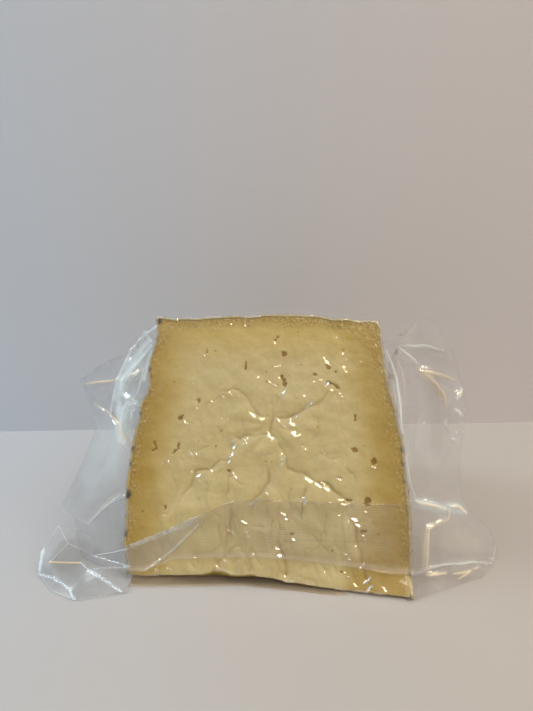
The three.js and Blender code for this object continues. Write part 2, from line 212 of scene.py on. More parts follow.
# Small facets of the film that catch a lamp: across, up the face, length along the crease, width.
# The same places carry thin arcs of painted highlight beside the facets.
GLINTS = {
    "glint_warm": [
        (-35.2, 93.4, 0.8, 0.6), (-14.3, 92, 0.8, 0.6), (-8.9, 91.4, 1, 0.7),
        (-42.1, 90.6, 0.8, 0.6), (-23.6, 79.6, 1.6, 0.7), (-27.2, 69, 0.8, 0.5),
        (-15.9, 64.2, 1.8, 0.8), (-13.4, 65.2, 2, 1), (-11.2, 64.4, 0.8, 0.5),
        (-9.9, 64.2, 1, 0.6), (-20, 62, 0.8, 0.5), (-25.4, 59.8, 0.8, 0.5),
        (-29.2, 54.4, 1.8, 0.9), (-27.7, 53.2, 1.2, 0.5), (-31.8, 54.2, 0.7, 0.5),
        (-23.3, 55.2, 0.9, 0.6), (-16, 56.4, 0.9, 0.6), (-8.1, 50.8, 1, 0.6), (-7, 48, 2.6, 0.7),
        (2.5, 84.6, 1.2, 0.7), (27.7, 80.8, 0.9, 0.6), (28.7, 73.8, 0.8, 0.5),
        (16.9, 70.2, 1.2, 0.8), (1.4, 69.3, 2.6, 0.5), (2.8, 68.7, 2.2, 0.4),
        (23.5, 66.8, 1.2, 0.7), (26.4, 65.6, 0.7, 0.5), (27.3, 64.7, 0.7, 0.5),
        (4.8, 55.6, 1.4, 0.6), (7.1, 53.4, 2.6, 0.6), (-26.4, 43.3, 2, 0.7), (-24.4, 43.1, 2, 0.7),
        (-34.6, 40.4, 1.6, 0.8), (-36.6, 39.6, 0.8, 0.5), (-25.6, 36.9, 1.2, 0.7),
        (-19.4, 38, 1.6, 0.5), (-17.8, 37, 1.2, 0.5), (-6.1, 38.4, 0.8, 0.5),
        (-10.4, 36.5, 2.4, 0.5), (-9.6, 35, 2.8, 0.6), (1.3, 30.2, 1.6, 0.7),
        (20.8, 44.5, 1.2, 0.8), (37.9, 40, 1.4, 0.6), (25.9, 35.7, 1.6, 0.7), (19, 33.4, 1, 0.5),
        (20.4, 34.3, 1.6, 0.5), (21.6, 32.4, 2, 0.5), (26.6, 28.8, 2.6, 0.5),
        (27.9, 27.4, 2.6, 0.6), (29.4, 27.6, 0.9, 0.5), (35, 25.2, 1, 0.6), (26.2, 23.7, 0.9, 0.5),
        (7, 23.6, 2.4, 0.6), (8, 21.9, 1.8, 0.5), (31.2, 22.6, 2.4, 1.1), (32.2, 20.8, 2, 0.9),
        (34, 17.5, 1.4, 0.7), (35, 16.4, 1.2, 0.4), (10.7, 15.5, 1.4, 0.9), (2.5, 20.2, 0.8, 0.5),
        (0.8, 15, 1, 0.4), (1.6, 14.2, 1, 0.4), (31.5, 14.2, 1, 0.6), (28.2, 11.4, 1.8, 0.5),
        (29.2, 10, 1.4, 0.5), (28, 5.8, 1.2, 0.5), (28.9, 4.8, 1.2, 0.5), (31.1, 2.7, 1.2, 0.9),
        (-6.5, 20.6, 2.8, 0.8), (-11.6, 17.6, 1.6, 0.5), (-10, 16.8, 1.4, 0.5),
        (-5.4, 17.2, 1.6, 0.4), (-4.6, 15.8, 1.4, 0.4), (-22.7, 8.6, 0.9, 0.6),
        (-35.6, 3.9, 1.6, 0.7), (-31.3, 4.3, 1.8, 0.6), (-18.5, 4.6, 1.2, 0.5),
        (-15.3, 5.9, 1.4, 0.5), (-12.6, 8, 1.4, 0.6), (-7.7, 7.5, 0.9, 0.6), (46.2, 4.5, 0.9, 0.6),
        (5.2, 12.4, 2.6, 0.4), (6, 10.2, 2, 0.4), (36.4, 22.6, 0.8, 0.5), (-39.6, 66.4, 0.7, 0.5),
        (34.4, 77.6, 0.8, 0.5), (-19.6, 60.4, 0.6, 0.4), (-36.2, 5.6, 0.9, 0.4),
    ],
    "glint_cool": [
        (3.7, 75.7, 1, 0.7), (21.9, 69.1, 1.4, 1), (6.3, 66, 2.4, 0.7), (15.2, 61, 1.8, 0.5),
        (16.2, 62.3, 1.6, 0.6), (10.9, 57.3, 1.4, 0.5), (9.6, 55.9, 1.2, 0.4),
        (-13.8, 55.9, 0.9, 0.6), (-11.4, 48.4, 1.6, 0.7), (-10.9, 45.8, 1.8, 0.9),
        (-11.8, 43.2, 2.2, 0.6), (-12.4, 40.8, 1.4, 0.7), (12.6, 46, 0.9, 0.5),
        (13.8, 45.2, 1, 0.5), (6.7, 42.6, 1.4, 0.4), (6.4, 40.2, 1.4, 0.4),
        (-23.4, 35.6, 1.4, 0.7), (-22.8, 34.2, 1, 0.5), (13.6, 29, 1.4, 0.7),
        (14.5, 27.4, 1.4, 0.5), (-2.9, 28, 1.4, 0.4), (-4, 26.4, 1.4, 0.4), (35, 4.4, 2.2, 0.5),
        (35.6, 2, 2.2, 0.5), (12.6, 3.4, 0.9, 0.7), (8.3, 2.4, 0.8, 0.6), (10.4, 2.4, 0.7, 0.5),
        (-7.6, 5.2, 0.6, 0.4), (33.4, 8.2, 2, 0.4), (4.2, 34.6, 0.9, 0.5), (-1, 43.4, 0.7, 0.4),
    ],
}
FACET_MARGIN = (0.35, 0.33)
GLINT_REACH = 0.25
LONG_GLINT = 1.2

# The seal band's free upper edge, its lower edge, and the diagonal where its left end turns over.
BAND_SPAN = (-47.4, 50.2)
BAND_TOP = [
    (-47.3, 11.3), (-39.8, 14.4), (-30.4, 18.3), (-24.6, 21.2), (-19.6, 23), (-13.1, 26.6),
    (-9.5, 27.6), (-3, 28), (50.4, 28),
]
BAND_BOTTOM = [
    (-47.3, 2.9), (-40, 3), (-31, 7.4), (-21, 8.1), (-18, 8.6), (0, 9.2), (17, 8.6), (33, 7.3),
    (42, 6.3), (50.4, 6.3),
]
BAND_TURN = [(-22.1, 19), (-30, 10.8), (-36.5, 5.7), (-39.4, 3.6)]
BAND_KNURL = [(-47, 9.8), (-43.4, 11.1), (-34, 14.9), (-22.1, 19.4)]
BAND_KNURLS = 30
BAND_STAND_OFF = 0.35
RIB_PITCH = 0.0007
KNURL_DOTS = 1600
FILM_PATCHES = 70.0
# Painted shadow under the lifted edge, a brown sheet on the table: how far forward it reaches,
# across and along y.
UNDER_SPAN = (-44.5, 30)
UNDER_FRONT = [
    (-45, -50.9), (-37, -50.8), (-26, -49.8), (-16, -48.7), (-6, -47.5), (4.5, -48.3), (15, -49.1),
    (25, -50.2), (36, -51.2),
]
UNDER_BACK = [(-45, -40.5), (-12, -41), (12, -45.5), (36, -47)]

# The side wings of the bag, as distances out from the edge of the cut face and up along it.
# A fold is a height, a reach, how strongly painted highlights along its crest shine cool and warm,
# and its points. A negative height turns away from the viewer. A sheen is a soft painted highlight:
# a width, cool and warm, and its points. A shade is painted shade: a width, a strength and its
# points.
# Each wing's haze tint is painted light: cool on the left, warm and paler on the right.
WINGS = {
    "left": {
        "side": -1, "calm": 0.5, "whiten": 0, "tint": (0.38, 0.41, 0.43, 1), "edge": 47.5,
        "turned_back": 23.4, "foot": 0, "root": (3, 88), "facets": 0.5,
        "outline": [(0, 3), (10, 3.4), (20, 5.8), (24, 13), (25.5, 19.4), (30.7, 22), (32.8, 24.5),
            (31.7, 27.5), (27.6, 35), (22.1, 46.2), (19.6, 53.8), (25.9, 63.8), (31.6, 72.3),
            (16.5, 79.1), (6.4, 81), (2.8, 84.2), (0.5, 89.5), (-4.5, 91)],
        "folds": [
            (1.9, 1.5, 0.7, 0, [(-4.8, 90.9), (1.7, 85.9), (5.4, 79.7), (9, 73), (11.7, 63.6),
                (13.2, 57.8)]),
            (1.7, 1.5, 1.1, 0, [(-3, 82.8), (0.8, 77.5), (4.6, 72.6), (7.5, 69.4), (8, 65.1),
                (5.5, 62.9)]),
            (0.8, 1.0, 0.35, 0, [(-1, 76), (-0.6, 70.5), (0.9, 64.7)]),
            (1.1, 1.3, 0.9, 0, [(0.5, 61.3), (4.8, 61.1), (6.6, 58.3), (6.5, 51.7), (4.6, 46.7)]),
            (0.8, 0.8, 0.5, 0, [(0.2, 59.2), (2.3, 58.5), (2.4, 54.8)]),
            (1.4, 0.8, 0, 0.8, [(27.3, 70.2), (9.8, 70.4)]),
            (-1.1, 0.9, 0, 0.4, [(22.5, 62.5), (15, 58.7), (9.4, 54.2), (6.4, 48.4), (2.8, 41.1)]),
            (0.9, 1.0, 0.12, 0, [(32, 72.5), (19.2, 79.6), (3.5, 82.1)]),
            (0.7, 1.0, 0.1, 0, [(20.2, 78.4), (25.3, 72.5)]),
            (0.8, 0.8, 0.3, 0, [(-5.2, 92.2), (1.1, 89.8), (-4.5, 83)]),
            (1.2, 0.45, 0.7, 0, [(1.9, 29.8), (10.1, 24.2), (18.5, 17.6)]),
            (-0.4, 0.4, 0, 0.3, [(3.4, 31.6), (19.5, 19.2)]),
            (0.6, 1.1, 0.12, 0, [(32.9, 24.6), (23.8, 19.3), (16.5, 15.8)]),
            (-1.0, 2.6, 0, 0, [(10, 44), (17, 36), (22, 27)]),
        ],
        "sheens": [
            (1.3, 0.42, 0, [(-2, 85), (3.4, 78), (8, 71), (9.6, 64), (9, 56), (7.4, 48)]),
            (0.7, 0.4, 0, [(-3.4, 81), (-2.4, 76), (-1.6, 70)]),
            (4.2, 0.16, 0, [(3, 64), (6, 58), (8, 46), (9, 36)]),
            (7, 0.2, 0, [(15, 50), (17, 42), (20, 34)]),
        ],
        "shades": [],
    },
    "right": {
        "side": 1, "calm": 0.2, "whiten": 0.3, "tint": (0.55, 0.5, 0.46, 1), "edge": 48.5,
        "turned_back": 27, "foot": 7, "root": (3, 87), "facets": 0.45,
        "outline": [(0, -1), (8, 0), (18.8, 1.3), (29.9, 2.6), (36.1, 8.3), (37.8, 13), (35.9, 20),
            (30, 24), (24.5, 30), (24, 37), (24.5, 46), (27, 55), (28.6, 64.7), (27, 74),
            (23.6, 85.4), (17.1, 94.4), (11.6, 96.4), (7.8, 95), (2.4, 88.4), (-0.6, 87.6)],
        "folds": [
            (1.1, 0.7, 0.75, 0, [(-5.1, 81.8), (-3.4, 77.1), (-1.7, 70.7), (-1, 64.4), (-0.8, 58),
                (-0.4, 51.8)]),
            (0.8, 0.8, 0, 0.35, [(-2.8, 80.9), (-0.1, 75), (1.1, 70.2), (1.4, 65.4)]),
            (0.8, 0.8, 0.35, 0, [(2.1, 48.9), (0.8, 42.7), (1.5, 36.8), (3.5, 30.9), (2.5, 28)]),
            (0.9, 0.8, 0.6, 0, [(-0.8, 83.2), (7.3, 78)]),
            (0.9, 0.9, 0.6, 0, [(1.7, 84), (10.2, 85.1), (19.4, 84.8)]),
            (1.4, 0.9, 0, 0.7, [(9.7, 75.3), (15.7, 74.7), (23.4, 73.9)]),
            (1.4, 1.1, 0, 0.8, [(10.1, 74.5), (14.4, 70.8), (17.7, 67), (19, 63)]),
            (1.4, 1.2, 1.3, 0, [(27.3, 70.5), (24.4, 66.4)]),
            (1.0, 0.8, 1.1, 0, [(23, 62.5), (26, 60.5)]),
            (0.7, 0.6, 0.5, 0, [(19.2, 58.9), (18.5, 56.4), (19.9, 54.1)]),
            (0.6, 0.6, 0.5, 0, [(22.9, 54.3), (23.9, 53.9)]),
            (0.7, 0.7, 0.4, 0, [(20.7, 51.3), (24.2, 51.1)]),
            (1.5, 1.1, 1.2, 0, [(3.5, 29.4), (9, 28.1), (15.5, 26.9)]),
            (1.4, 1.1, 1.3, 0, [(18, 27.9), (21.4, 27.6), (24.8, 25.8)]),
            (1.2, 0.9, 0, 0.5, [(17.4, 26), (17.2, 23.4), (12.4, 21.9), (8.5, 20.1), (7.8, 15.1),
                (6.9, 8.1)]),
            (0.7, 0.8, 0.4, 0, [(0.5, 5.8), (7.8, 7.7), (16.2, 8.7), (26.9, 9.5), (35.2, 8.1)]),
            (0.2, 0.9, 0, 0.7, [(8.1, 5.6), (15.5, 5.8)]),
            (0.2, 0.9, 0, 0.6, [(18.3, 5.5), (25.6, 5.9), (20.6, 3.6)]),
            (0.2, 0.6, 0, 0.5, [(26.6, 6.6), (29.6, 6.9)]),
            (0.8, 0.6, 0.25, 0, [(34.2, 24), (37.7, 18), (37.1, 11.9), (35.5, 8.3)]),
            (-0.5, 1.0, 0.12, 0, [(8.2, 94.8), (-0.8, 83.2)]),
            (-1.2, 1.1, 0.08, 0, [(9.8, 77.8), (9.6, 65.4), (9.7, 57.3)]),
            (-0.9, 2.0, 0, 0, [(12, 62), (13, 52), (12, 44)]),
        ],
        "sheens": [
            (2.4, 0, 0.2, [(11, 74), (17, 68)]),
            (2.6, 0.2, 0, [(6, 28.5), (13, 27.4), (22, 26.5)]),
            (2.0, 0, 0.15, [(7.6, 18), (7.4, 8)]),
            (7, 0.08, 0.12, [(18, 17), (27, 14)]),
        ],
        "shades": [
            (5, 0.12, [(14, 70), (16, 60), (15, 50)]),
            (6, 0.09, [(12, 86), (20, 80)]),
        ],
    },
}
ROOT_THICK = 9
ROOT_REACH = 13
FOOT = {"fold": 6, "rise": 0.12, "length": 7, "slant": 0.15, "clear": 3}

# The left end of the seal band: a low tent of flat facets on the table.
TENT_POINTS = {
    "apex": (-77.5, -29.2, 9), "left_middle": (-79.4, -39.8, 5), "left": (-77.6, -46.6, 0.8),
    "back_1": (-67, -31.5, 8.5), "back_2": (-60.7, -35, 8), "inner": (-69.8, -38.4, 7.6),
    "dark_1": (-63.3, -40.5, 7), "dark_2": (-62.3, -45.2, 5), "dark_3": (-73.9, -44.4, 4),
    "flap": (-59.3, -42.4, 6), "by_cheese": (-46.4, -42.8, 9.6), "low_cheese": (-44.4, -46.4, 5.4),
    "foot_cheese": (-43.4, -48.6, 2), "crest": (-58.6, -48.3, 5), "crest_1": (-54.1, -50.2, 4),
    "crest_2": (-45.5, -53.4, 0.9), "edge_1": (-69.9, -50, 2.2), "edge_2": (-62.6, -54.2, 1.6),
    "front_left": (-68.7, -54.3, 0.4), "front": (-59.3, -57.8, 0.4),
    "front_right": (-43, -52.8, 0.5),
}
TENT_FACETS = [
    ("apex", "left_middle", "inner"), ("left_middle", "dark_3", "inner"),
    ("left_middle", "left", "dark_3"), ("apex", "inner", "back_1"),
    ("back_1", "inner", "dark_1", "back_2"), ("inner", "dark_3", "dark_2", "dark_1"),
    ("back_2", "dark_1", "flap"), ("dark_1", "dark_2", "crest", "flap"),
    ("dark_3", "edge_1", "dark_2"), ("left", "edge_1", "dark_3"),
    ("dark_2", "edge_1", "edge_2", "crest"), ("crest", "edge_2", "crest_1"),
    ("crest_1", "edge_2", "front", "crest_2"), ("flap", "low_cheese", "by_cheese"),
    ("flap", "crest", "low_cheese"), ("crest", "crest_1", "low_cheese"),
    ("low_cheese", "crest_1", "foot_cheese"), ("foot_cheese", "crest_1", "crest_2"),
    ("foot_cheese", "crest_2", "front_right"), ("edge_1", "front_left", "edge_2"),
    ("left", "front_left", "edge_1"), ("edge_2", "front_left", "front"),
    ("crest_2", "front", "front_right"),
]
# Around here the tent mirrors less and gets painted shade.
TENT_DARK = (-67.5, -42, 6)
TENT_LEAST = 0.35
TENT_HALVINGS = 5
# Painted highlights along its creases: half width, cool, warm, whether knurled, and its points.
TENT_SHINES = [
    (1.7, 0.85, 0, 0, ["left_middle", "left"]),
    (0.8, 0.75, 0, 1, ["left", "edge_1", "edge_2", "front"]),
    (0.85, 0.85, 0, 1, ["crest", "crest_1", "crest_2"]),
    (0.5, 0, 0.8, 0, ["dark_2", "dark_3"]),
    (0.4, 0.25, 0, 0, ["apex", "inner", "dark_3"]),
    (0.4, 0.25, 0, 0, ["apex", "left_middle"]),
    (0.4, 0.6, 0, 0, ["flap", "by_cheese"]),
    (0.45, 0.5, 0, 1, ["crest", "low_cheese"]),
    (0.4, 0.3, 0, 0, ["dark_2", "crest"]),
    (0.4, 0.2, 0, 0, ["inner", "dark_1", "flap"]),
    (0.5, 0.2, 0, 0, ["left", "front_left", "front", "front_right"]),
    (0.5, 0.12, 0, 0, ["apex", "back_1", "back_2"]),
    (0.5, 0.5, 0, 1, ["flap", "low_cheese"]),
]

# Colours that aren't set in the panel.
CLOUDY_PASTE = (0.71, 0.60, 0.31, 1)
PASTE_GRAIN = (0.27, 0.16, 0.02, 1)
PASTE_FLECKS = (0.80, 0.70, 0.46, 1)
# Painted shade in the creases of the cut face and on the underside below its cut edge.
PAINTED_PASTE_SHADE = (0.36, 0.24, 0.06, 1)
RIND_FLAKES = (0.48, 0.38, 0.22, 1)
RIND_CUT = (0.50, 0.38, 0.13, 1)
BAND_TINT = (0.42, 0.32, 0.225, 1)
# Brown of the painted shadow under the lifted edge.
PAINTED_SHADOW_TINT = (0.80, 0.62, 0.42, 1)
TENT_TINT = (0.43, 0.445, 0.45, 1)
MIRROR_TINT = (1, 1, 1, 1)
SHINE_COVER = 0.85
# Tints of painted highlights, cool and warm, and of painted shadow and shade, brown and dark brown.
SHINE_TINTS = {"shine_cool": (0.84, 0.96, 1.0, 1), "shine_warm": (1.0, 0.86, 0.62, 1),
               "shine_amber": (0.80, 0.62, 0.42, 1), "shine_umber": (0.22, 0.18, 0.12, 1)}
# The papers' cool left and warm right tints are painted light.
TABLE_TINTS = ((0.495, 0.53, 0.575, 1), (0.505, 0.445, 0.385, 1))
BACKDROP_TINTS = ((0.65, 0.715, 0.80, 1), (0.71, 0.66, 0.645, 1))
SKY_TINTS = ((0.93, 0.98, 1.04, 1), (1.03, 0.97, 0.90, 1))

# The studio, in metres: the camera stands where the photograph was taken from.
CAMERA_PLACE = (0.0165, -0.1974, 0.1210)
CAMERA_TURN = (5.1, 15.2, -0.86)  # degrees to the left, down and of roll
CAMERA_LENS = 27
CAMERA_SENSOR = 36
CAMERA_NEAR = 0.005
PAPER_SIZE = 30
STUDIO_FADE = (-0.22, 0.12)  # the papers change from their left to their right colour between these
BACKDROP_Y = 0.090
BACKDROP_TURN = (math.radians(90), 0, math.radians(5.5))
SEE_THROUGH_LAYERS = 24
LIT_POINT = (0, -0.0235, 0.0407)
# Each lamp: where it stands from the lit point, how far, its size, how bright its face is, its
# colour, and where only one of the two counts, whether it lights matt surfaces or shows in gloss.
LAMPS = {
    "soft_front": {"towards": (0.35, -0.7, 0.75), "distance": 1.5, "size": (0.9, 0.9),
        "brightness": 1.48, "colour": (1.0, 0.96, 0.9), "seen_in": ("diffuse",)},
    "soft_top": {"towards": (0.25, -0.15, 1.0), "distance": 1.5, "size": (0.8, 0.8),
        "brightness": 1.2, "colour": (1.0, 0.95, 0.88), "seen_in": ("diffuse",)},
    "window": {"towards": (-0.85, 0.1, 0.5), "distance": 1.7, "size": (0.4, 0.8), "brightness": 7,
        "colour": (0.8, 0.91, 1.0)},
    "side": {"towards": (0.9, -0.45, 0.5), "distance": 1.6, "size": (0.5, 0.5), "brightness": 3.2,
        "colour": (1.0, 0.88, 0.74), "seen_in": ("diffuse",)},
    "glint_warm": {"towards": (0.257, -0.386, 0.886), "distance": 1.4, "size": (0.42, 0.42),
        "brightness": 46, "colour": (1.0, 0.87, 0.66), "seen_in": ("glossy",)},
    "glint_cool": {"towards": (-0.594, -0.168, 0.787), "distance": 1.4, "size": (0.4, 0.4),
        "brightness": 42, "colour": (0.86, 0.94, 1.0), "seen_in": ("glossy",)},
    "glint_back": {"towards": (0.3, 0.85, 0.6), "distance": 1.4, "size": (0.3, 0.3),
        "brightness": 10, "colour": (1.0, 0.97, 0.92), "seen_in": ("glossy",)},
    "glint_right": {"towards": (0.648, -0.08, 0.757), "distance": 1.4, "size": (0.35, 0.35),
        "brightness": 14, "colour": (1.0, 0.93, 0.8), "seen_in": ("glossy",)},
}


def a_length(name, description, default):
    return FloatProperty(name=name, description=description, default=default, unit="LENGTH")


def a_strength(name, description):
    return FloatProperty(name=name, description=description, default=1.0, min=0, max=2)


def a_colour(name, description, *default):
    return FloatVectorProperty(name=name, description=description, subtype="COLOR", size=4,
                               default=(*default, 1))


class CheeseSizes(bpy.types.PropertyGroup):
    """Sizes of the wedge and of the film around it."""

    wheel_radius: a_length("Wheel radius", "From the thin edge of the wedge to its rim", 0.094)
    left_half: a_length("Left half width", "From the middle to the wheel's left side", 0.0488)
    right_half: a_length("Right half width", "From the middle to the wheel's right side", 0.0494)
    rind_thickness: a_length("Rind thickness", "Thickness of the rind", 0.0009)
    film_gap: a_length("Film gap", "How far the film lies off the cheese", 0.00032)
    film_thickness: a_length("Film thickness", "Thickness of the loose film sheets", 0.00025)
    relief: a_strength("Relief", "Strength of the creases pressed into the cut face")
    wrinkles: a_strength("Wrinkles", "Strength of the small wrinkles of the film")
    face_cells: IntProperty(name="Face cells", default=290, min=40,
                            description="How many cells the cut face has each way")


class CheeseColours(bpy.types.PropertyGroup):
    """Colours of the cheese and the film."""

    paste: a_colour("Paste", "Middle of the cut face", 0.655, 0.525, 0.240)
    paste_ripe: a_colour("Ripe paste", "The yellower paste further out", 0.64, 0.462, 0.13)
    paste_edge: a_colour("Paste by the rind", "The drier paste inside the rind", 0.445, 0.28, 0.04)
    # Painted shade inside the small holes.
    eye: a_colour("Eyes", "Inside of the small holes", 0.30, 0.15, 0.004)
    rind: a_colour("Rind", "Ochre of the rind", 0.40, 0.29, 0.13)
    rind_grey: a_colour("Rind bloom", "Grey-brown bloom on the rind", 0.24, 0.195, 0.13)
    rind_dark: a_colour("Rind specks", "Dark specks in the rind", 0.045, 0.034, 0.024)
    film: a_colour("Film haze", "The faint haze of the film", 0.50, 0.47, 0.46)


# ---- numbers ----

def rise(value, start, end):
    """0 before the start, 1 past the end, and a smooth rise between them."""
    share = np.clip((np.asarray(value, float) - start) / (end - start), 0, 1)
    return share * share * (3 - 2 * share)


def mix(low, high, share):
    return low + (high - low) * share


def rounded(distance, reach):
    return np.exp(-((distance / reach) ** 2))


def creased(distance, reach):
    """A ridge with a narrow crest and sloping sides."""
    blunt = 0.08
    return np.exp(-np.sqrt((distance / reach) ** 2 + blunt) + math.sqrt(blunt))


def unit(vector):
    return vector / np.linalg.norm(vector)


def ripple(u, v, size, seed):
    """Smooth noise from about -1 to 1, whose bumps are about one size across."""
    turn = np.random.default_rng(seed).uniform(0, 2 * math.pi, (64, 64))
    a, b = np.asarray(u, float) / size + 500, np.asarray(v, float) / size + 500
    i, j = np.floor(a).astype(int), np.floor(b).astype(int)
    a, b = a - i, b - j

    def slope(di, dj):
        angle = turn[(i + di) % 64, (j + dj) % 64]
        return np.cos(angle) * (a - di) + np.sin(angle) * (b - dj)

    ease_a, ease_b = (x * x * x * (x * (x * 6 - 15) + 10) for x in (a, b))
    low, high = mix(slope(0, 0), slope(1, 0), ease_a), mix(slope(0, 1), slope(1, 1), ease_a)
    return 1.5 * mix(low, high, ease_b)


def ripples(u, v, *layers):
    """The sum of layers of ripple, each a height, a size and a seed."""
    return sum(height * ripple(u, v, size, seed) for height, size, seed in layers)


def facets(u, v, size, seed):
    """The flat faces and straight creases of crumpled film, from about -1 to 1."""
    rng = np.random.default_rng(seed)
    total = np.zeros(np.shape(u))
    for _ in range(4):
        angle, pitch = rng.uniform(0, math.pi), size * rng.uniform(0.8, 1.6)
        start = rng.uniform(0, 1)
        bend = 0.35 * ripple(u, v, size * 1.7, int(rng.integers(1000)))
        wave = (u * math.cos(angle) + v * math.sin(angle)) / pitch + start + bend
        total += 4 * np.abs(wave - np.floor(wave + 0.5)) - 1
    return total / 4


def crumpled(u, v, size, seed):
    """Puffs of the pressed skin, from 0 in the narrow creases between them to nearly 1."""
    wander = 0.5 * size * ripple(u, v, 1.7 * size, seed + 1)
    return 1 - np.exp(-np.abs(ripple(u + wander, v - 0.6 * wander, size, seed)) / 0.16)


def lengths_of(points):
    return np.linalg.norm(np.diff(points, axis=0), axis=1)


def distance_to(points, *place):
    """Distance from each place to a line through points, and the share of its length there."""
    points, place = np.array(points, float), np.stack(place, -1)
    nearest, share, before = np.full(len(place), FAR), np.zeros(len(place)), 0
    if len(points) == 1:
        return np.linalg.norm(place - points[0], axis=1), share
    lengths = np.maximum(lengths_of(points), TINY)
    for a, b, reach in zip(points, points[1:], lengths):
        along = np.clip((place - a) @ (b - a) / reach**2, 0, 1)
        away = np.linalg.norm(place - a - np.multiply.outer(along, b - a), axis=1)
        share = np.where(away < nearest, (before + along * reach) / lengths.sum(), share)
        nearest = np.minimum(nearest, away)
        before += reach
    return nearest, share


def along_line(points, share):
    """Points at shares of the length of a line through points."""
    points = np.array(points, float)
    reached = np.concatenate([[0], np.cumsum(lengths_of(points))])
    return np.stack([np.interp(share * reached[-1], reached, column) for column in points.T], -1)


def level_at(line, value):
    """The second number of a line of pairs, read off at a value of the first."""
    return np.interp(value, *zip(*line))


# ---- shapes ----

def sizes_mm():
    """The sizes in the panel, with lengths in millimetres."""
    sizes = bpy.context.scene.cheese_sizes
    lengths = {"wheel": "wheel_radius", "left": "left_half", "right": "right_half",
               "rind": "rind_thickness", "gap": "film_gap", "sheet": "film_thickness"}
    return {short: getattr(sizes, name) / MM for short, name in lengths.items()}


def face_point(across, up, off):
    """A point over the upper cut face, in millimetres."""
    base = np.zeros(np.shape(across) + (3,))
    base[..., 0] = across
    base[..., 1] = -sizes_mm()["wheel"] / 2
    return base + np.multiply.outer(up, UP_FACE) + np.multiply.outer(off, OFF_FACE)


def on_face(points, direction):
    """How far points are from the thin edge in a direction, such as up the cut face or off it."""
    return (points - [0, -sizes_mm()["wheel"] / 2, 0]) @ direction


def from_sides(x, up):
    return np.minimum(x - level_at(CUT_LEFT, up), level_at(CUT_RIGHT, up) - x)


def from_rim(x, up):
    return level_at(CUT_TOP, x) - up


def from_edge(x, up):
    return np.minimum(from_sides(x, up), from_rim(x, up))


def half_width(side, half, radius, wheel):
    rounding = np.maximum(0, (radius - side["from"]) / (wheel - side["from"]))
    drawn_in = side["drawn_in"] * np.maximum(0, 1 - radius / DRAWN_IN_REACH)
    wave = SIDE_WAVE * np.sin((radius + half) / SIDE_WAVE_LENGTH * 2 * math.pi)
    return half - side["shoulder"] * rounding**SHOULDER_POWER - drawn_in + wave


def wedge_places(across, outwards, upwards, grow, floor, wall=None):
    """Places on the wedge's skin, whose shares run across its width, out to its rim and up from one
    cut face to the other. The skin is grown outwards, and wall adds relief to its sides and rim."""
    size = sizes_mm()
    wheel, even, none = size["wheel"], outwards * size["wheel"], 0 * outwards
    front = rise(upwards, CUT_FADE, 1)
    left, right = level_at(CUT_LEFT, even), level_at(CUT_RIGHT, even)
    left, right = left - OUTLINE_MARGIN, right + OUTLINE_MARGIN
    left = mix(-half_width(LEFT_SIDE, size["left"], even, wheel), left, front)
    right = mix(half_width(RIGHT_SIDE, size["right"], even, wheel), right, front)
    left = left + front * ripples(even, none, RAGGED["left"])
    right = right + front * ripples(even, none, RAGGED["right"])
    x = mix(left - grow, right + grow, across)

    blunt = rise(x, *TIP_TURN)
    sharp = TIP_SHARP + TIP_UNDERCUT * rise(x, TIP_MIDDLE, -TIP_MIDDLE) * rise(upwards, 0.98, 0.5)
    behind = sharp + TIP_BLUNT * blunt * rise(x, -TIP_MIDDLE, TIP_MIDDLE)
    tip = mix(behind, level_at(CUT_BOTTOM, x), front) + max(-grow, TIP_INSET)
    crown = RIM_CROWN * (1 - ((x - RIM_CROWN_MIDDLE) / size["left"]) ** 2)
    rim = mix(wheel + crown, level_at(CUT_TOP, x) + ripples(x, none, RAGGED["rim"]), front) + grow
    radius = mix(np.maximum(tip, TIP_LEAST), rim, outwards)
    if wall is not None:
        stand = wall(x, radius, upwards)
        stand = stand * rise(upwards, 1, 0.93) * rise(upwards, 0, 0.06) * rise(radius, 2, 12)
        x = x + np.where(across <= 0, -stand, 0) + np.where(across >= 1, stand, 0)
        radius = radius + np.where(outwards >= 1, stand, 0)

    lift = TIP_LIFT * blunt * np.maximum(0, 1 - radius / TIP_LIFT_REACH) ** 2 * (1 - upwards)
    angle = upwards * WEDGE_ANGLE
    return np.stack([x, -wheel / 2 + radius * np.cos(angle),
                     radius * np.sin(angle) + lift + floor * (1 - upwards)], -1)


def toed_out(points):
    """Draws the foot of the wedge forward towards its right end."""
    from_tip = np.hypot(points[..., 1] + sizes_mm()["wheel"] / 2, points[..., 2])
    share = np.clip((points[..., 0] - TOE_FROM[0]) / (TOE_FROM[1] - TOE_FROM[0]), 0, 1)
    moved = points.copy()
    moved[..., 1] -= TOE_OUT * share**1.3 * np.clip(1 - from_tip / TOE_REACH, 0, 1) ** 1.2
    return moved


def face_creases(x, up, film=False):
    """How deep the creases of the cut face are, which the film follows more softly."""
    bent = [place + ripples(x, up, layer) for place, layer in zip((x, up), CREASE_WANDER)]
    vary = (0.75 + 0.45 * ripple(x, up, 5, 29)) * (1 + 0.6 * rise(up, 46, 32))
    sunk = np.zeros_like(x)
    for depth, reach, points in VALLEYS:
        away, share = distance_to(points, *bent)
        if film:
            shape = 0.34 * rounded(away, 1.5 * reach)
        else:
            shape = 0.5 * creased(away, 0.32 * reach) + 0.15 * rounded(away, 2 * reach)
        ends = rise(share, -0.02, 0.12) * rise(share, 1.02, 0.8)
        sunk = np.maximum(sunk, depth * vary * shape * (0.3 + 0.7 * ends))
    middle = rise(np.hypot(x / 41, (up - 37) / 38), 1.08, 0.6)
    middle = middle * rise(ripple(x, up, 12, 36), -0.3, 0.4)
    low = rise(up, 34, 18) * rise(np.abs(x + 1), 44, 32) * rise(ripple(x, up, 8, 38), -0.5, 0.3)
    return (sunk + 0.13 * middle * (1 - crumpled(x, up, 7.5, 26))
            + 0.3 * low * (1 - crumpled(x * 1.4, up * 0.65, 4.2, 39)))


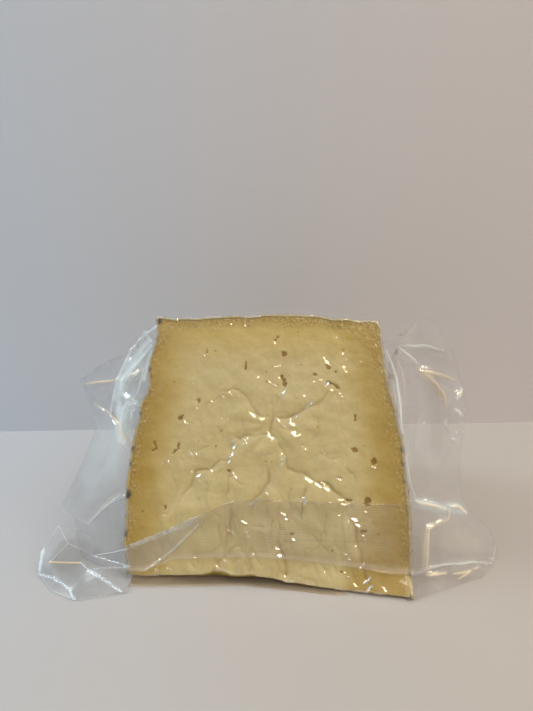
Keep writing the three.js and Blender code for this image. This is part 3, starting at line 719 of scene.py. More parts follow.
def face_relief(x, up, film=False):
    """Height of the pressed cut face, or of the film, which bridges its creases."""
    edge = np.minimum(from_edge(x, up), up - level_at(CUT_BOTTOM, x) + 3)
    height = 0.28 * ripple(x, up, 17, 21) + (0.17 + 0.12 * rise(up, 62, 40)) * ripple(x, up, 7, 22)
    for swell, reach, points in SWELLS:
        height = height + swell * rounded(distance_to(points, x, up)[0], reach)
    turn, away = np.arctan2(up - FAN[1], x - FAN[0]), np.hypot(x - FAN[0], up - FAN[1])
    fan = ripple(10 * np.cos(turn) + 0.11 * away, 10 * np.sin(turn), 3.2, 26)
    height = height + 0.30 * fan * rise(away, 30, 12) * rise(away, 1.5, 7)
    height = height + 0.20 * ripple(x, up, 4, 28) * rise(away, 56, 20)
    low = rise(up, 40, 22) * rise(np.abs(x + 1), 46, 34)
    height = height + 0.5 * low * ripple(x + 0.2 * up, up * 0.55, 5.2, 27)
    rough = 0.04 * ripple(x, up, 1.7, 25) + 0.02 * ripple(x, up, 1.1, 30) * rise(edge, 4, 0.5)
    sunk = (height - face_creases(x, up, film)) * rise(edge, -1, FACE_EDGE_FADE)
    return bpy.context.scene.cheese_sizes.relief * (sunk + rough)


def film_relief(x, up):
    """How far the film over the cut face stands off the cheese's own relief."""
    calmer = 0.4 + 0.6 * rise(ripple(x, up, 15, 34), -0.4, 0.5)
    stand = FILM_STAND + ripples(x, up, *FILM_WRINKLES) * calmer
    stand = stand + 0.02 * ripple(x, up, 1.1, 35) * rise(from_edge(x, up), 3, 0.5)
    return bpy.context.scene.cheese_sizes.wrinkles * stand


def catching_slope(x, up, lamp):
    """Slopes across and up the face at which the film shows that lamp in the photograph."""
    place = face_point(x, up, 0)
    light = LIT_POINT + unit(np.array(LAMPS[lamp]["towards"])) * LAMPS[lamp]["distance"]
    half = unit(np.array(CAMERA_PLACE) / MM - place) + unit(light / MM - place)
    return np.array([-half[0], -(half @ UP_FACE)]) / (half @ OFF_FACE)


def tilt_facets(x, up, height):
    """Tilts the small facets of the film that catch a lamp, each crosswise to its own slope."""
    height = height.copy()
    for lamp, places in GLINTS.items():
        for across, along, long, wide in places:
            slope = catching_slope(across, along, lamp)
            down = unit(slope)
            u, v = x - across, up - along
            reach = np.hypot((v * down[0] - u * down[1]) / (0.5 * long + FACET_MARGIN[0]),
                             (u * down[0] + v * down[1]) / (0.5 * wide + FACET_MARGIN[1]))
            near = np.nonzero(reach < 1.2)[0]
            if len(near):
                facet = height[near].mean() + slope[0] * u[near] + slope[1] * v[near]
                height[near] = mix(height[near], facet, rise(reach[near], 1.2, 0.8))
    return height


def glint_lines(x, up):
    """Thin arcs of painted highlight on the film beside those facets, warm and cool."""
    shines = []
    for lamp, places in GLINTS.items():
        shine = np.zeros_like(x)
        for i, (across, along, long, wide) in enumerate(places):
            down = unit(catching_slope(across, along, lamp)) * (-1) ** i
            near = np.nonzero(np.hypot(x - across, up - along) < long + 1)[0]
            share, drawn = np.linspace(-1, 1, 7)[:, None], long > LONG_GLINT
            arc = (across, along) + drawn * 0.55 * long * share * (-down[1], down[0])
            arc = arc + drawn * (0.5 * wide + 0.1) * (1 - share**2) * down
            away, _ = distance_to(arc, x[near], up[near])
            shine[near] = np.maximum(shine[near], rounded(away, GLINT_REACH))
        shines.append(shine)
    return shines


def eye_depths(x, up):
    """How deep the eyes go at each point, and how near it is to one, from 0 well outside to 1."""
    depth, inside = np.zeros_like(x), np.zeros_like(x)
    wander = ripples(x, up, *EYE_WANDER)
    small = [(SMALL_EYE * (0.7 + 0.6 * ((7 * i) % 5) / 5), SMALL_EYE_DEPTH, [place])
             for i, place in enumerate(SMALL_EYES)]
    for width, deep, points in EYES + small:
        away = distance_to(points, x, up)[0] + wander * min(1, width)
        depth = np.maximum(depth, deep * rise(away, width / 2 + 0.3, width / 2 - 0.25))
        inside = np.maximum(inside, rise(away, width / 2 + 0.7, width / 2 - 0.7))
    return depth, inside


def side_pleats(x, radius, upwards):
    """Pleats of the film on the wheel's sides, running back from the cut face, and on the rim."""
    behind = (1 - upwards) * WEDGE_ANGLE
    up, back = radius * np.cos(behind), radius * np.sin(behind)
    sides = 0.12 + 0.12 * ripple(up, back + x, 9, 51) + 0.1 * ripple(up, back - x, 3.6, 52)
    for i, start in enumerate(SIDE_PLEATS):
        slant, reach = 0.25 * math.sin(2.3 * i + 1) * np.sign(x), 18 + 14 * ((5 * i) % 4)
        ridge = (0.9 - 0.1 * (i % 4)) * creased(up - start - slant * back, 0.9 + 0.3 * (i % 3))
        sides = sides + ridge * rise(back, reach + 10, reach - 6)
    rim = 0.15 + 0.1 * ripple(x, back, 7, 53)
    for i, start in enumerate(RIM_PLEATS):
        line, reach = start + 0.12 * back * math.sin(1.7 * i), 12 + 9 * ((3 * i) % 5)
        rim = rim + 0.5 * creased(x - line, 0.8) * rise(back, reach + 14, reach - 4)
    return bpy.context.scene.cheese_sizes.wrinkles * mix(sides, rim, rise(radius, 90, 92))


def rind_unevenness(x, radius, upwards):
    around = radius * upwards * WEDGE_ANGLE
    coarse = 0.18 * ripple(around + 3 * np.sign(x), radius + x, 7, 61)
    pits = -0.22 * rise(ripple(around, radius + x, 2.6, 62), 0.25, 0.6)
    return coarse + pits + 0.05 * ripple(around, radius - x, 1.5, 63) - 0.1


def rind_marks(x, up, off):
    """Where the dark marks of the rind lie, from 0 to 1."""
    marks = np.zeros_like(x)
    for width, across, height in RIND_MARKS:
        away = np.sqrt((x - across) ** 2 + (up - height) ** 2 + off**2)
        marks = np.maximum(marks, rise(away, width + 0.7, width * 0.5))
    return marks


# ---- meshes ----

def pick(piece):
    bpy.ops.object.select_all(action="DESELECT")
    piece.select_set(True)
    bpy.context.view_layer.objects.active = piece


def new_grid(name, across, up):
    """A flat grid, and how far each of its corners is across and up it, from 0 to 1."""
    bpy.ops.object.select_all(action="DESELECT")
    bpy.ops.mesh.primitive_grid_add(x_subdivisions=across, y_subdivisions=up, size=1)
    piece = bpy.context.object
    piece.name = piece.data.name = name
    flat = corners(piece)
    return piece, flat[:, 0] + 0.5, flat[:, 1] + 0.5


def corners(piece):
    """The corners of a mesh as rows of numbers."""
    numbers = np.empty(len(piece.data.vertices) * 3)
    piece.data.vertices.foreach_get("co", numbers)
    return numbers.reshape(-1, 3)


def place_corners(piece, points):
    """Puts the corners at points given in millimetres."""
    piece.data.vertices.foreach_set("co", (points * MM).ravel())
    piece.data.update()


def keep_numbers(piece, **named):
    """Keeps one number a corner, for a material or a later step. Corners past the last get 0."""
    for name, values in named.items():
        numbers = np.zeros(len(piece.data.vertices), np.float32)
        numbers[:len(values)] = values
        kept = piece.data.attributes.get(name) or piece.data.attributes.new(name, "FLOAT", "POINT")
        kept.data.foreach_set("value", numbers)


def kept_numbers(piece, name):
    values = np.empty(len(piece.data.vertices), np.float32)
    piece.data.attributes[name].data.foreach_get("value", values)
    return values.astype(float)


def close_under(piece, steps):
    """Spins the edge of a shaped cut face down about the thin edge, and closes it underneath."""
    tip = -bpy.context.scene.cheese_sizes.wheel_radius / 2
    bpy.ops.object.mode_set(mode="EDIT")
    bpy.ops.mesh.select_mode(type="EDGE")
    bpy.ops.mesh.select_all(action="SELECT")
    bpy.ops.mesh.region_to_loop()
    bpy.ops.mesh.spin(steps=steps, angle=-WEDGE_ANGLE, center=(0, tip, 0), axis=(1, 0, 0))
    bpy.ops.mesh.extrude_edges_move()
    bpy.ops.transform.resize(value=(INNER_RING, INNER_RING, 1), center_override=(0, 0, 0))
    bpy.ops.mesh.edge_face_add()
    bpy.ops.object.mode_set(mode="OBJECT")


def face_outwards(piece):
    bpy.ops.object.mode_set(mode="EDIT")
    bpy.ops.mesh.select_all(action="SELECT")
    bpy.ops.mesh.normals_make_consistent(inside=False)
    bpy.ops.object.mode_set(mode="OBJECT")


def thicken(piece, thickness, offset, even=False):
    """Gives a sheet its thickness, and keeps its first corners in their order."""
    solid = piece.modifiers.new("thickness", "SOLIDIFY")
    solid.thickness = thickness * MM
    solid.offset = offset
    solid.use_even_offset = even
    pick(piece)
    bpy.ops.object.modifier_apply(modifier=solid.name)


def finish_piece(piece, material):
    """Smooths a finished mesh, gives it its material, hangs it on the root body and hides the solid
    that it stands for.
    """
    pick(piece)
    bpy.ops.object.shade_smooth()
    piece.data.materials.clear()
    piece.data.materials.append(material)
    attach(piece, "root")
    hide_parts("sealed_cheese")


def wedge_body(name, cells, steps, grow, floor, relief, wall=None):
    """A closed body on the wedge: the cut face as a fine grid with its relief, spun down and
    closed. Also gives how many corners the cut face has, how far up it they are, and how far up the
    wedge from its lower cut face every corner is, from 0 to 1."""
    piece, across, outwards = new_grid(name, cells, cells)
    top = len(across)
    points = wedge_places(across, outwards, np.ones(top), grow, floor)
    keep_numbers(piece, across_share=across, outwards_share=outwards)
    place_corners(piece, points)
    close_under(piece, steps)
    across, outwards = kept_numbers(piece, "across_share"), kept_numbers(piece, "outwards_share")
    below = len(across) - top
    ring = below // (steps + 1)  # the spun rings, and the ring inside the last one
    upwards = np.ones(len(across))
    upwards[top:] = np.maximum(0, 1 - (np.arange(below) // ring + 1) / steps)
    placed = wedge_places(across, outwards, upwards, grow, floor, wall)
    up = on_face(points, UP_FACE)
    placed[:top] += np.multiply.outer(relief(placed[:top, 0], up), OFF_FACE)
    inner = top + steps * ring
    placed[inner:] = placed[inner:] * (INNER_RING, INNER_RING, 0) + (0, 0, floor)
    place_corners(piece, toed_out(placed))
    face_outwards(piece)
    return piece, top, up, upwards


# ---- materials ----

class Value:
    """A number or colour over the surface: sums on it add Math nodes to its node tree."""

    def __init__(self, socket):
        self.socket, self.tree = socket, socket.id_data

    def calculate(self, operation, other, swapped=False):
        made = self.tree.nodes.new("ShaderNodeMath")
        made.operation = operation
        first, second = (other, self) if swapped else (self, other)
        feed(made.inputs[0], first)
        feed(made.inputs[1], second)
        return Value(made.outputs[0])

    def __add__(self, other):
        return self.calculate("ADD", other)

    def __sub__(self, other):
        return self.calculate("SUBTRACT", other)

    def __rsub__(self, other):
        return self.calculate("SUBTRACT", other, swapped=True)

    def __mul__(self, other):
        return self.calculate("MULTIPLY", other)

    def __truediv__(self, other):
        return self.calculate("DIVIDE", other)

    def __pow__(self, other):
        return self.calculate("POWER", other)

    def clamped(self):
        self.socket.node.use_clamp = True
        return self

    def remap(self, low, high, to_low=0.0, to_high=1.0):
        return output(self.tree, "ShaderNodeMapRange", {"interpolation_type": "SMOOTHSTEP"},
                      Value=self, From_Min=low, From_Max=high, To_Min=to_low, To_Max=to_high)

    def blend(self, first, second):
        """The second colour where this number is 1, over the first."""
        made = node(self.tree, "ShaderNodeMix", {"data_type": "RGBA"})
        for index, value in ((0, self), (6, first), (7, second)):
            feed(made.inputs[index], value)
        return Value(made.outputs[2])


def feed(socket, value):
    if isinstance(value, Value):
        value.tree.links.new(value.socket, socket)
    else:
        socket.default_value = value


def node(tree, kind, settings=None, **values):
    """Adds a node, with its settings, and its inputs as numbers or as the values that feed them."""
    made = tree.nodes.new(kind)
    for key, value in (settings or {}).items():
        setattr(made, key, value)
    for key, value in values.items():
        feed(made.inputs[key.replace("_", " ")], value)
    return made


def output(tree, kind, settings=None, name=0, **values):
    """Adds a node, and gives one of its outputs."""
    return Value(node(tree, kind, settings, **values).outputs[name])


def attribute(tree, name):
    return output(tree, "ShaderNodeAttribute", {"attribute_name": name}, "Fac")


def object_place(tree):
    return output(tree, "ShaderNodeTexCoord", name="Object")


def part_of(place, axis):
    return output(place.tree, "ShaderNodeSeparateXYZ", name=axis, Vector=place)


def mottle_group():
    """Uneven patches: a mask whose share, size and softness are set, on Object coordinates."""
    group = bpy.data.node_groups.get("mottle")
    if group:
        return group
    group = bpy.data.node_groups.new("mottle", "ShaderNodeTree")
    given = {"Scale": 100.0, "Middle": 0.5, "Softness": 0.1, "Detail": 3.0}
    sockets, number = group.interface, "NodeSocketFloat"
    for label, value in given.items():
        sockets.new_socket(name=label, in_out="INPUT", socket_type=number).default_value = value
    sockets.new_socket(name="Mask", in_out="OUTPUT", socket_type=number)
    inputs = node(group, "NodeGroupInput").outputs
    given = {label: Value(inputs[label]) for label in given}
    noise = output(group, "ShaderNodeTexNoise", name="Fac", Vector=object_place(group),
                   Scale=given["Scale"], Detail=given["Detail"])
    mask = noise.remap(given["Middle"] - given["Softness"], given["Middle"] + given["Softness"])
    feed(node(group, "NodeGroupOutput").inputs["Mask"], mask)
    return group


def mottle(tree, scale, middle, softness, detail=3.0):
    return output(tree, "ShaderNodeGroup", {"node_tree": mottle_group()}, "Mask",
                  Scale=scale, Middle=middle, Softness=softness, Detail=detail)


def new_material(name):
    material = bpy.data.materials.new(name)
    material.use_nodes = True
    return material, material.node_tree, material.node_tree.nodes["Principled BSDF"]


def dress(shader, colour, roughness, height, strength, distance):
    """Gives a shader its colour, its roughness and its bumps."""
    feed(shader.inputs["Base Color"], colour)
    feed(shader.inputs["Roughness"], roughness)
    bumps = output(height.tree, "ShaderNodeBump", name="Normal", Strength=strength,
                   Distance=distance, Height=height)
    feed(shader.inputs["Normal"], bumps)


def paste_material():
    """Moist ivory paste, drier and more ochre towards the rind, with painted shade in its eyes,
    in its creases and under its cut edge.
    """
    colours = bpy.context.scene.cheese_colours
    material, tree, shader = new_material("moist cheese paste")
    uneven = mottle(tree, 160, 0.5, 0.3) * 3.0
    inwards = attribute(tree, "rind_distance") - uneven
    crumbly = inwards.remap(3.5, -0.5)
    colour = inwards.remap(19.0, 2.0).blend(colours.paste, colours.paste_ripe)
    dry = (attribute(tree, "side_distance") - uneven).remap(17.0, 0.0)
    colour = dry.blend(colour, colours.paste_edge)
    colour = (mottle(tree, 60, 0.52, 0.2) * 0.16).blend(colour, CLOUDY_PASTE)
    colour = (mottle(tree, 1000, 0.56, 0.07) * (crumbly * 0.3 + 0.06)).blend(colour, PASTE_GRAIN)
    colour = (mottle(tree, 1250, 0.6, 0.06) * (crumbly * 0.4 + 0.05)).blend(colour, PASTE_FLECKS)
    # Painted shade in the creases and on the underside below the cut edge.
    colour = (attribute(tree, "crease") * 0.5).blend(colour, PAINTED_PASTE_SHADE)
    # Painted shade inside the eyes.
    eye = (attribute(tree, "eye") + mottle(tree, 1300, 0.5, 0.3) * 0.35).remap(0.58, 0.78)
    colour = (eye * 0.85).blend(colour, colours.eye)
    colour = attribute(tree, "dark_mark").blend(colour, colours.rind_dark)
    dress(shader, colour, mottle(tree, 400, 0.5, 0.2).remap(0.0, 1.0, 0.42, 0.6),
          mottle(tree, 850, 0.5, 0.3) * (crumbly + 0.12), 0.5, 0.0005)
    shader.inputs["Specular IOR Level"].default_value = 0.15
    shader.inputs["Subsurface Weight"].default_value = 0.25
    shader.inputs["Subsurface Radius"].default_value = (1.0, 0.6, 0.25)
    shader.inputs["Subsurface Scale"].default_value = 0.0025
    return material


def rind_material():
    """Natural rind: ochre under a grey-brown bloom, with dark specks."""
    colours = bpy.context.scene.cheese_colours
    material, tree, shader = new_material("natural rind")
    colour = mottle(tree, 90, 0.5, 0.14, 5.0).blend(colours.rind, colours.rind_grey)
    colour = (mottle(tree, 420, 0.57, 0.1) * 0.3).blend(colour, RIND_FLAKES)
    colour = (mottle(tree, 330, 0.64, 0.05, 4.0) * 0.45).blend(colour, colours.rind_dark)
    colour = (attribute(tree, "cut") * 0.8).blend(colour, RIND_CUT)
    colour = attribute(tree, "dark_mark").blend(colour, colours.rind_dark)
    dress(shader, colour, mottle(tree, 260, 0.5, 0.2).remap(0.0, 1.0, 0.6, 0.85),
          mottle(tree, 520, 0.5, 0.35, 6.0), 0.6, 0.0006)
    return material


def film_material(name, mirror, haze, tint, roughness=0.05, ribbed=0.0, patched=False):
    """Clear film: it lets light through, mirrors more at a slant, and has a faint uneven haze. Its
    painted highlights and painted shade, its ribs, and how calm and sparkling it is are numbers
    kept on the mesh."""
    material, tree, shader = new_material(name)
    place, calm = object_place(tree), attribute(tree, "calm")
    slant = output(tree, "ShaderNodeLayerWeight", name="Facing", Blend=0.5) ** 5.0
    mirrored = (slant * 0.8 + mirror) * (1.0 - calm)
    dull = mottle(tree, 90, 0.5, 0.35) * (haze * 0.8) + haze * 0.6
    # Patches of haze that differ from facet to facet: painted reflection of brighter and darker
    # surroundings.
    if patched:
        patches = output(tree, "ShaderNodeTexVoronoi", name="Color", Vector=place,
                         Scale=FILM_PATCHES)
        patch = output(tree, "ShaderNodeSeparateColor", name="Red", Color=patches)
        dull = dull * (patch * 1.1 + 0.5)
    if ribbed:
        ribs = (part_of(place, "Z") * (2 * math.pi / RIB_PITCH)).calculate("SINE", 0.0)
        dull = dull + (ribs + 1.0) * attribute(tree, "ribs") * ribbed
    dots = output(tree, "ShaderNodeTexVoronoi", name="Distance", Vector=place, Scale=KNURL_DOTS)
    knurled = attribute(tree, "knurl")
    dots = knurled * dots.remap(0.5, 0.2, 0.25, 1.4) + (1.0 - knurled)
    colour = tint
    for kind, tone in SHINE_TINTS.items():
        shine = attribute(tree, kind) * dots * SHINE_COVER
        dull = dull + shine
        colour = (shine * 4.0).clamped().blend(colour, tone)
    cover = (mirrored + dull).clamped()
    share = (mirrored / cover).clamped()
    feed(shader.inputs["Alpha"], cover)
    feed(shader.inputs["Metallic"], share)
    feed(shader.inputs["Specular IOR Level"], (1.0 - calm**2.0) * 0.5)
    dress(shader, share.blend(colour, MIRROR_TINT),
          mottle(tree, 200, 0.5, 0.3).remap(0.0, 1.0, roughness * 0.7, roughness * 1.6),
          mottle(tree, 1300, 0.5, 0.3, 1.0) * (attribute(tree, "sparkle") + 0.015), 1.0, 0.0004)
    return material


def studio_material(name, left, right, see_through=False):
    """Plain matt paper, tinted cooler on the left and warmer on the right as painted light: the
    cool window light on the left and the warm lamp light on the right.
    """
    material, tree, shader = new_material(name)
    rightwards = part_of(object_place(tree), "X").remap(*STUDIO_FADE)
    feed(shader.inputs["Base Color"], rightwards.blend(left, right))
    shader.inputs["Roughness"].default_value = 0.75
    shader.inputs["Specular IOR Level"].default_value = 0.3
    if see_through:
        feed(shader.inputs["Alpha"], 1.0 - output(tree, "ShaderNodeNewGeometry", name="Backfacing"))
    return material


# ---- operators ----

class CHEESE_OT_stage(bpy.types.Operator):
    """Lay the pale table and backdrop, and set the lights and the camera"""

    bl_idname = "cheese.stage"
    bl_label = "Studio"

    def execute(self, context):
        self.paper("table_top", (0, 0, 0), (0, 0, 0), studio_material("pale table", *TABLE_TINTS))
        wall = self.paper("backdrop", (0, BACKDROP_Y, PAPER_SIZE / 2), BACKDROP_TURN,
                          studio_material("pale backdrop", *BACKDROP_TINTS, see_through=True))
        wall.visible_shadow = wall.visible_diffuse = False
        for name, values in LAMPS.items():
            self.lamp(context, name, **values)
        self.sky(context)
        self.camera(context)
        context.scene.view_settings.view_transform = "Standard"
        context.scene.cycles.transparent_max_bounces = SEE_THROUGH_LAYERS
        return {"FINISHED"}

    def paper(self, name, place, turn, material):
        bpy.ops.object.select_all(action="DESELECT")
        bpy.ops.mesh.primitive_plane_add(size=PAPER_SIZE, location=place, rotation=turn)
        sheet = bpy.context.object
        bpy.ops.object.transform_apply(location=True, rotation=True, scale=True)
        sheet.name = sheet.data.name = name
        sheet.data.materials.append(material)
        return sheet

    def lamp(self, context, name, towards, distance, size, brightness, colour,
             seen_in=("diffuse", "glossy")):
        light = bpy.data.lights.new(name, "AREA")
        light.shape = "RECTANGLE"
        light.size, light.size_y = size
        light.energy = brightness * math.pi * size[0] * size[1]
        light.color = colour
        lamp = bpy.data.objects.new(name, light)
        direction = Vector(towards).normalized()
        lamp.matrix_world = Matrix.Translation(Vector(LIT_POINT) + direction * distance) @ (
            direction.to_track_quat("Z", "Y").to_matrix().to_4x4())
        lamp.visible_camera = False
        lamp.visible_diffuse = "diffuse" in seen_in
        lamp.visible_glossy = "glossy" in seen_in
        context.scene.collection.objects.link(lamp)

    def sky(self, context):
        """Light from all around, dimmer from below and from the front."""
        world = bpy.data.worlds.new("room light")
        context.scene.world = world
        world.use_nodes = True
        tree = world.node_tree
        place = output(tree, "ShaderNodeTexCoord", name="Generated")
        level = part_of(place, "Z").remap(-0.3, 1.0, 0.30, 0.80)
        level = level * part_of(place, "Y").remap(-1.0, 0.1, 0.5, 1.1)
        background = tree.nodes["Background"]
        feed(background.inputs["Color"], part_of(place, "X").remap(-0.9, 0.9).blend(*SKY_TINTS))
        feed(background.inputs["Strength"], level)

    def camera(self, context):
        left, down, roll = (math.radians(angle) for angle in CAMERA_TURN)
        forward = Vector((-math.sin(left) * math.cos(down), math.cos(left) * math.cos(down),
                          -math.sin(down)))
        right = Vector((math.cos(left), math.sin(left), 0))
        up = right.cross(forward)
        right, up = (math.cos(roll) * right + math.sin(roll) * up,
                     math.cos(roll) * up - math.sin(roll) * right)
        data = bpy.data.cameras.new("camera")
        data.lens = CAMERA_LENS
        data.sensor_width = CAMERA_SENSOR
        data.clip_start = CAMERA_NEAR
        camera = bpy.data.objects.new("camera", data)
        turn = Matrix((right, up, -forward)).transposed().to_4x4()
        camera.matrix_world = Matrix.Translation(CAMERA_PLACE) @ turn
        context.scene.collection.objects.link(camera)
        context.scene.camera = camera


class CHEESE_OT_paste(bpy.types.Operator):
    """Cut the paste of the wedge, with its eyes and the creases that the film has pressed in"""

    bl_idname = "cheese.paste"
    bl_label = "Cut paste"

    def execute(self, context):
        def relief(x, up):
            return face_relief(x, up) - EYE_PIT * eye_depths(x, up)[0]

        piece, top, up, upwards = wedge_body(
            "cheese_paste", context.scene.cheese_sizes.face_cells, SPIN_STEPS["paste"],
            -PASTE_INSET * sizes_mm()["rind"], FLOOR["paste"], relief)
        across = corners(piece)[:, 0] / MM
        x = across[:top]
        sides, rim = from_sides(x, up), from_rim(x, up)
        # The paste looks paler by the left side and drier in the lower right corner.
        left_off = rise(x, -25, -40) * (0.6 + 4 * rise(up, 12, 4) + 3.5 * rise(up, 62, 86))
        right_off = 12 * rise(x, 14, 32) * rise(up, 17, 5)
        # Painted shade: on the underside below the cut edge, darker towards its left end, and in
        # the creases of the cut face.
        shade = mix(0.9, 0.45, rise(across, 0, 25)) * rise(upwards, 1.02, 0.9)
        shade[:top] = np.clip(1.5 * face_creases(x, up) - 0.16, 0, 1)
        keep_numbers(
            piece, rind_distance=np.maximum(0, np.minimum(sides, 0.9 * rim)),
            side_distance=np.maximum(0, np.minimum(sides + left_off - right_off, 2.6 * rim)),
            eye=eye_depths(x, up)[1], dark_mark=rind_marks(x, up, MARK_FADE), crease=shade)
        finish_piece(piece, paste_material())
        return {"FINISHED"}


class CHEESE_OT_rind(bpy.types.Operator):
    """Wrap the rind around the wheel's two sides and its rim"""

    bl_idname = "cheese.rind"
    bl_label = "Rind"

    def execute(self, context):
        piece, path, upwards = new_grid("rind", *CELLS["rind"])
        path = 3 * path  # up the left side, over the rim and down the right side
        across = np.clip(path - 1, 0, 1)
        across = np.where(path < 1 - TINY, 0, np.where(path > 2 + TINY, 1, across))
        outwards = np.clip(np.minimum(path, 3 - path), 0, 1)
        points = wedge_places(across, outwards, upwards, 0, FLOOR["rind"], rind_unevenness)
        points += np.multiply.outer(rise(upwards, 0.985, 1) * 0.1, OFF_FACE)
        place_corners(piece, points)
        marks = rind_marks(points[:, 0], on_face(points, UP_FACE), on_face(points, OFF_FACE))
        keep_numbers(piece, dark_mark=marks, cut=rise(upwards, 0.93, 0.99))
        thicken(piece, sizes_mm()["rind"], 1, even=True)
        placed = corners(piece) / MM
        placed[:, 2] = np.maximum(placed[:, 2], FLOOR["rind_least"])
        place_corners(piece, toed_out(placed))
        finish_piece(piece, rind_material())
        return {"FINISHED"}


class CHEESE_OT_film_skin(bpy.types.Operator):
    """Draw the film tight around the whole wedge"""

    bl_idname = "cheese.film_skin"
    bl_label = "Film on the cheese"

    def execute(self, context):
        size = sizes_mm()

        def relief(x, up):
            height = face_relief(x, up, film=True) + film_relief(x, up)
            return size["gap"] + tilt_facets(x, up, height)

        piece, top, up, upwards = wedge_body(
            "film_skin", context.scene.cheese_sizes.face_cells - FEWER_FILM_CELLS,
            SPIN_STEPS["film"], size["gap"], FLOOR["film"], relief, side_pleats)
        placed = corners(piece) / MM
        x, from_tip = placed[:, 0], np.hypot(placed[:, 1] + size["wheel"] / 2, placed[:, 2])
        pleats = side_pleats(x, from_tip, upwards) * rise(upwards, 0, 0.1)
        # Painted highlights along the pleats of the sides and rim, the warm ones on the right side
        # only.
        warm, cool = 0.12 * rise(pleats, 0.25, 0.5) * (x > 0), 0.26 * rise(pleats, 0.5, 1.0)
        calm = np.maximum(0.9 * rise(upwards, 0.99, 0.96) * rise(from_tip, 16, 10),
                          0.6 * rise(upwards, 0.88, 0.96))
        sparkle = 0.2 * rise(upwards, 0.7, 1)

        x = x[:top]
        edge = from_edge(x, up)
        warm_arcs, cool_arcs = glint_lines(x, up)
        # Painted shine: along the lower edge, in sparks and a seam by the outline, and on the arcs.
        hem = rounded(up - level_at(CUT_BOTTOM, x) - 0.7, 0.4)
        hem = hem * rise(ripple(x, up, 5, 37), -0.7, 0.2)
        spark = rise(ripple(x, up, 0.9, 40), 0.45, 0.9) * rise(edge, 2.5, 0.3)
        seam = rounded(edge - 0.2, 0.35) * rise(ripple(x, up, 2.4, 43), -0.5, 0.4)
        corner = 1 - 0.85 * rise(np.hypot(x - 49, up - 3), 11, 6)
        warm[:top] = np.maximum.reduce([0.65 * warm_arcs, 0.5 * hem * corner, 0.5 * spark * corner,
                                        0.35 * seam * (x > 0) * corner])
        cool[:top] = np.maximum(0.65 * cool_arcs, 0.5 * seam * (x < 0) * rise(up, 50, 58))
        calm[:top] = 0.6 * rise(edge, 2, 0.2)
        sparkle[:top] = 0.15 * rise(edge, 3.5, 0.5)
        keep_numbers(piece, sparkle=sparkle, calm=calm, shine_warm=warm, shine_cool=cool)
        tint = context.scene.cheese_colours.film
        finish_piece(piece, film_material("clear film", 0.03, 0.006, tint))
        return {"FINISHED"}


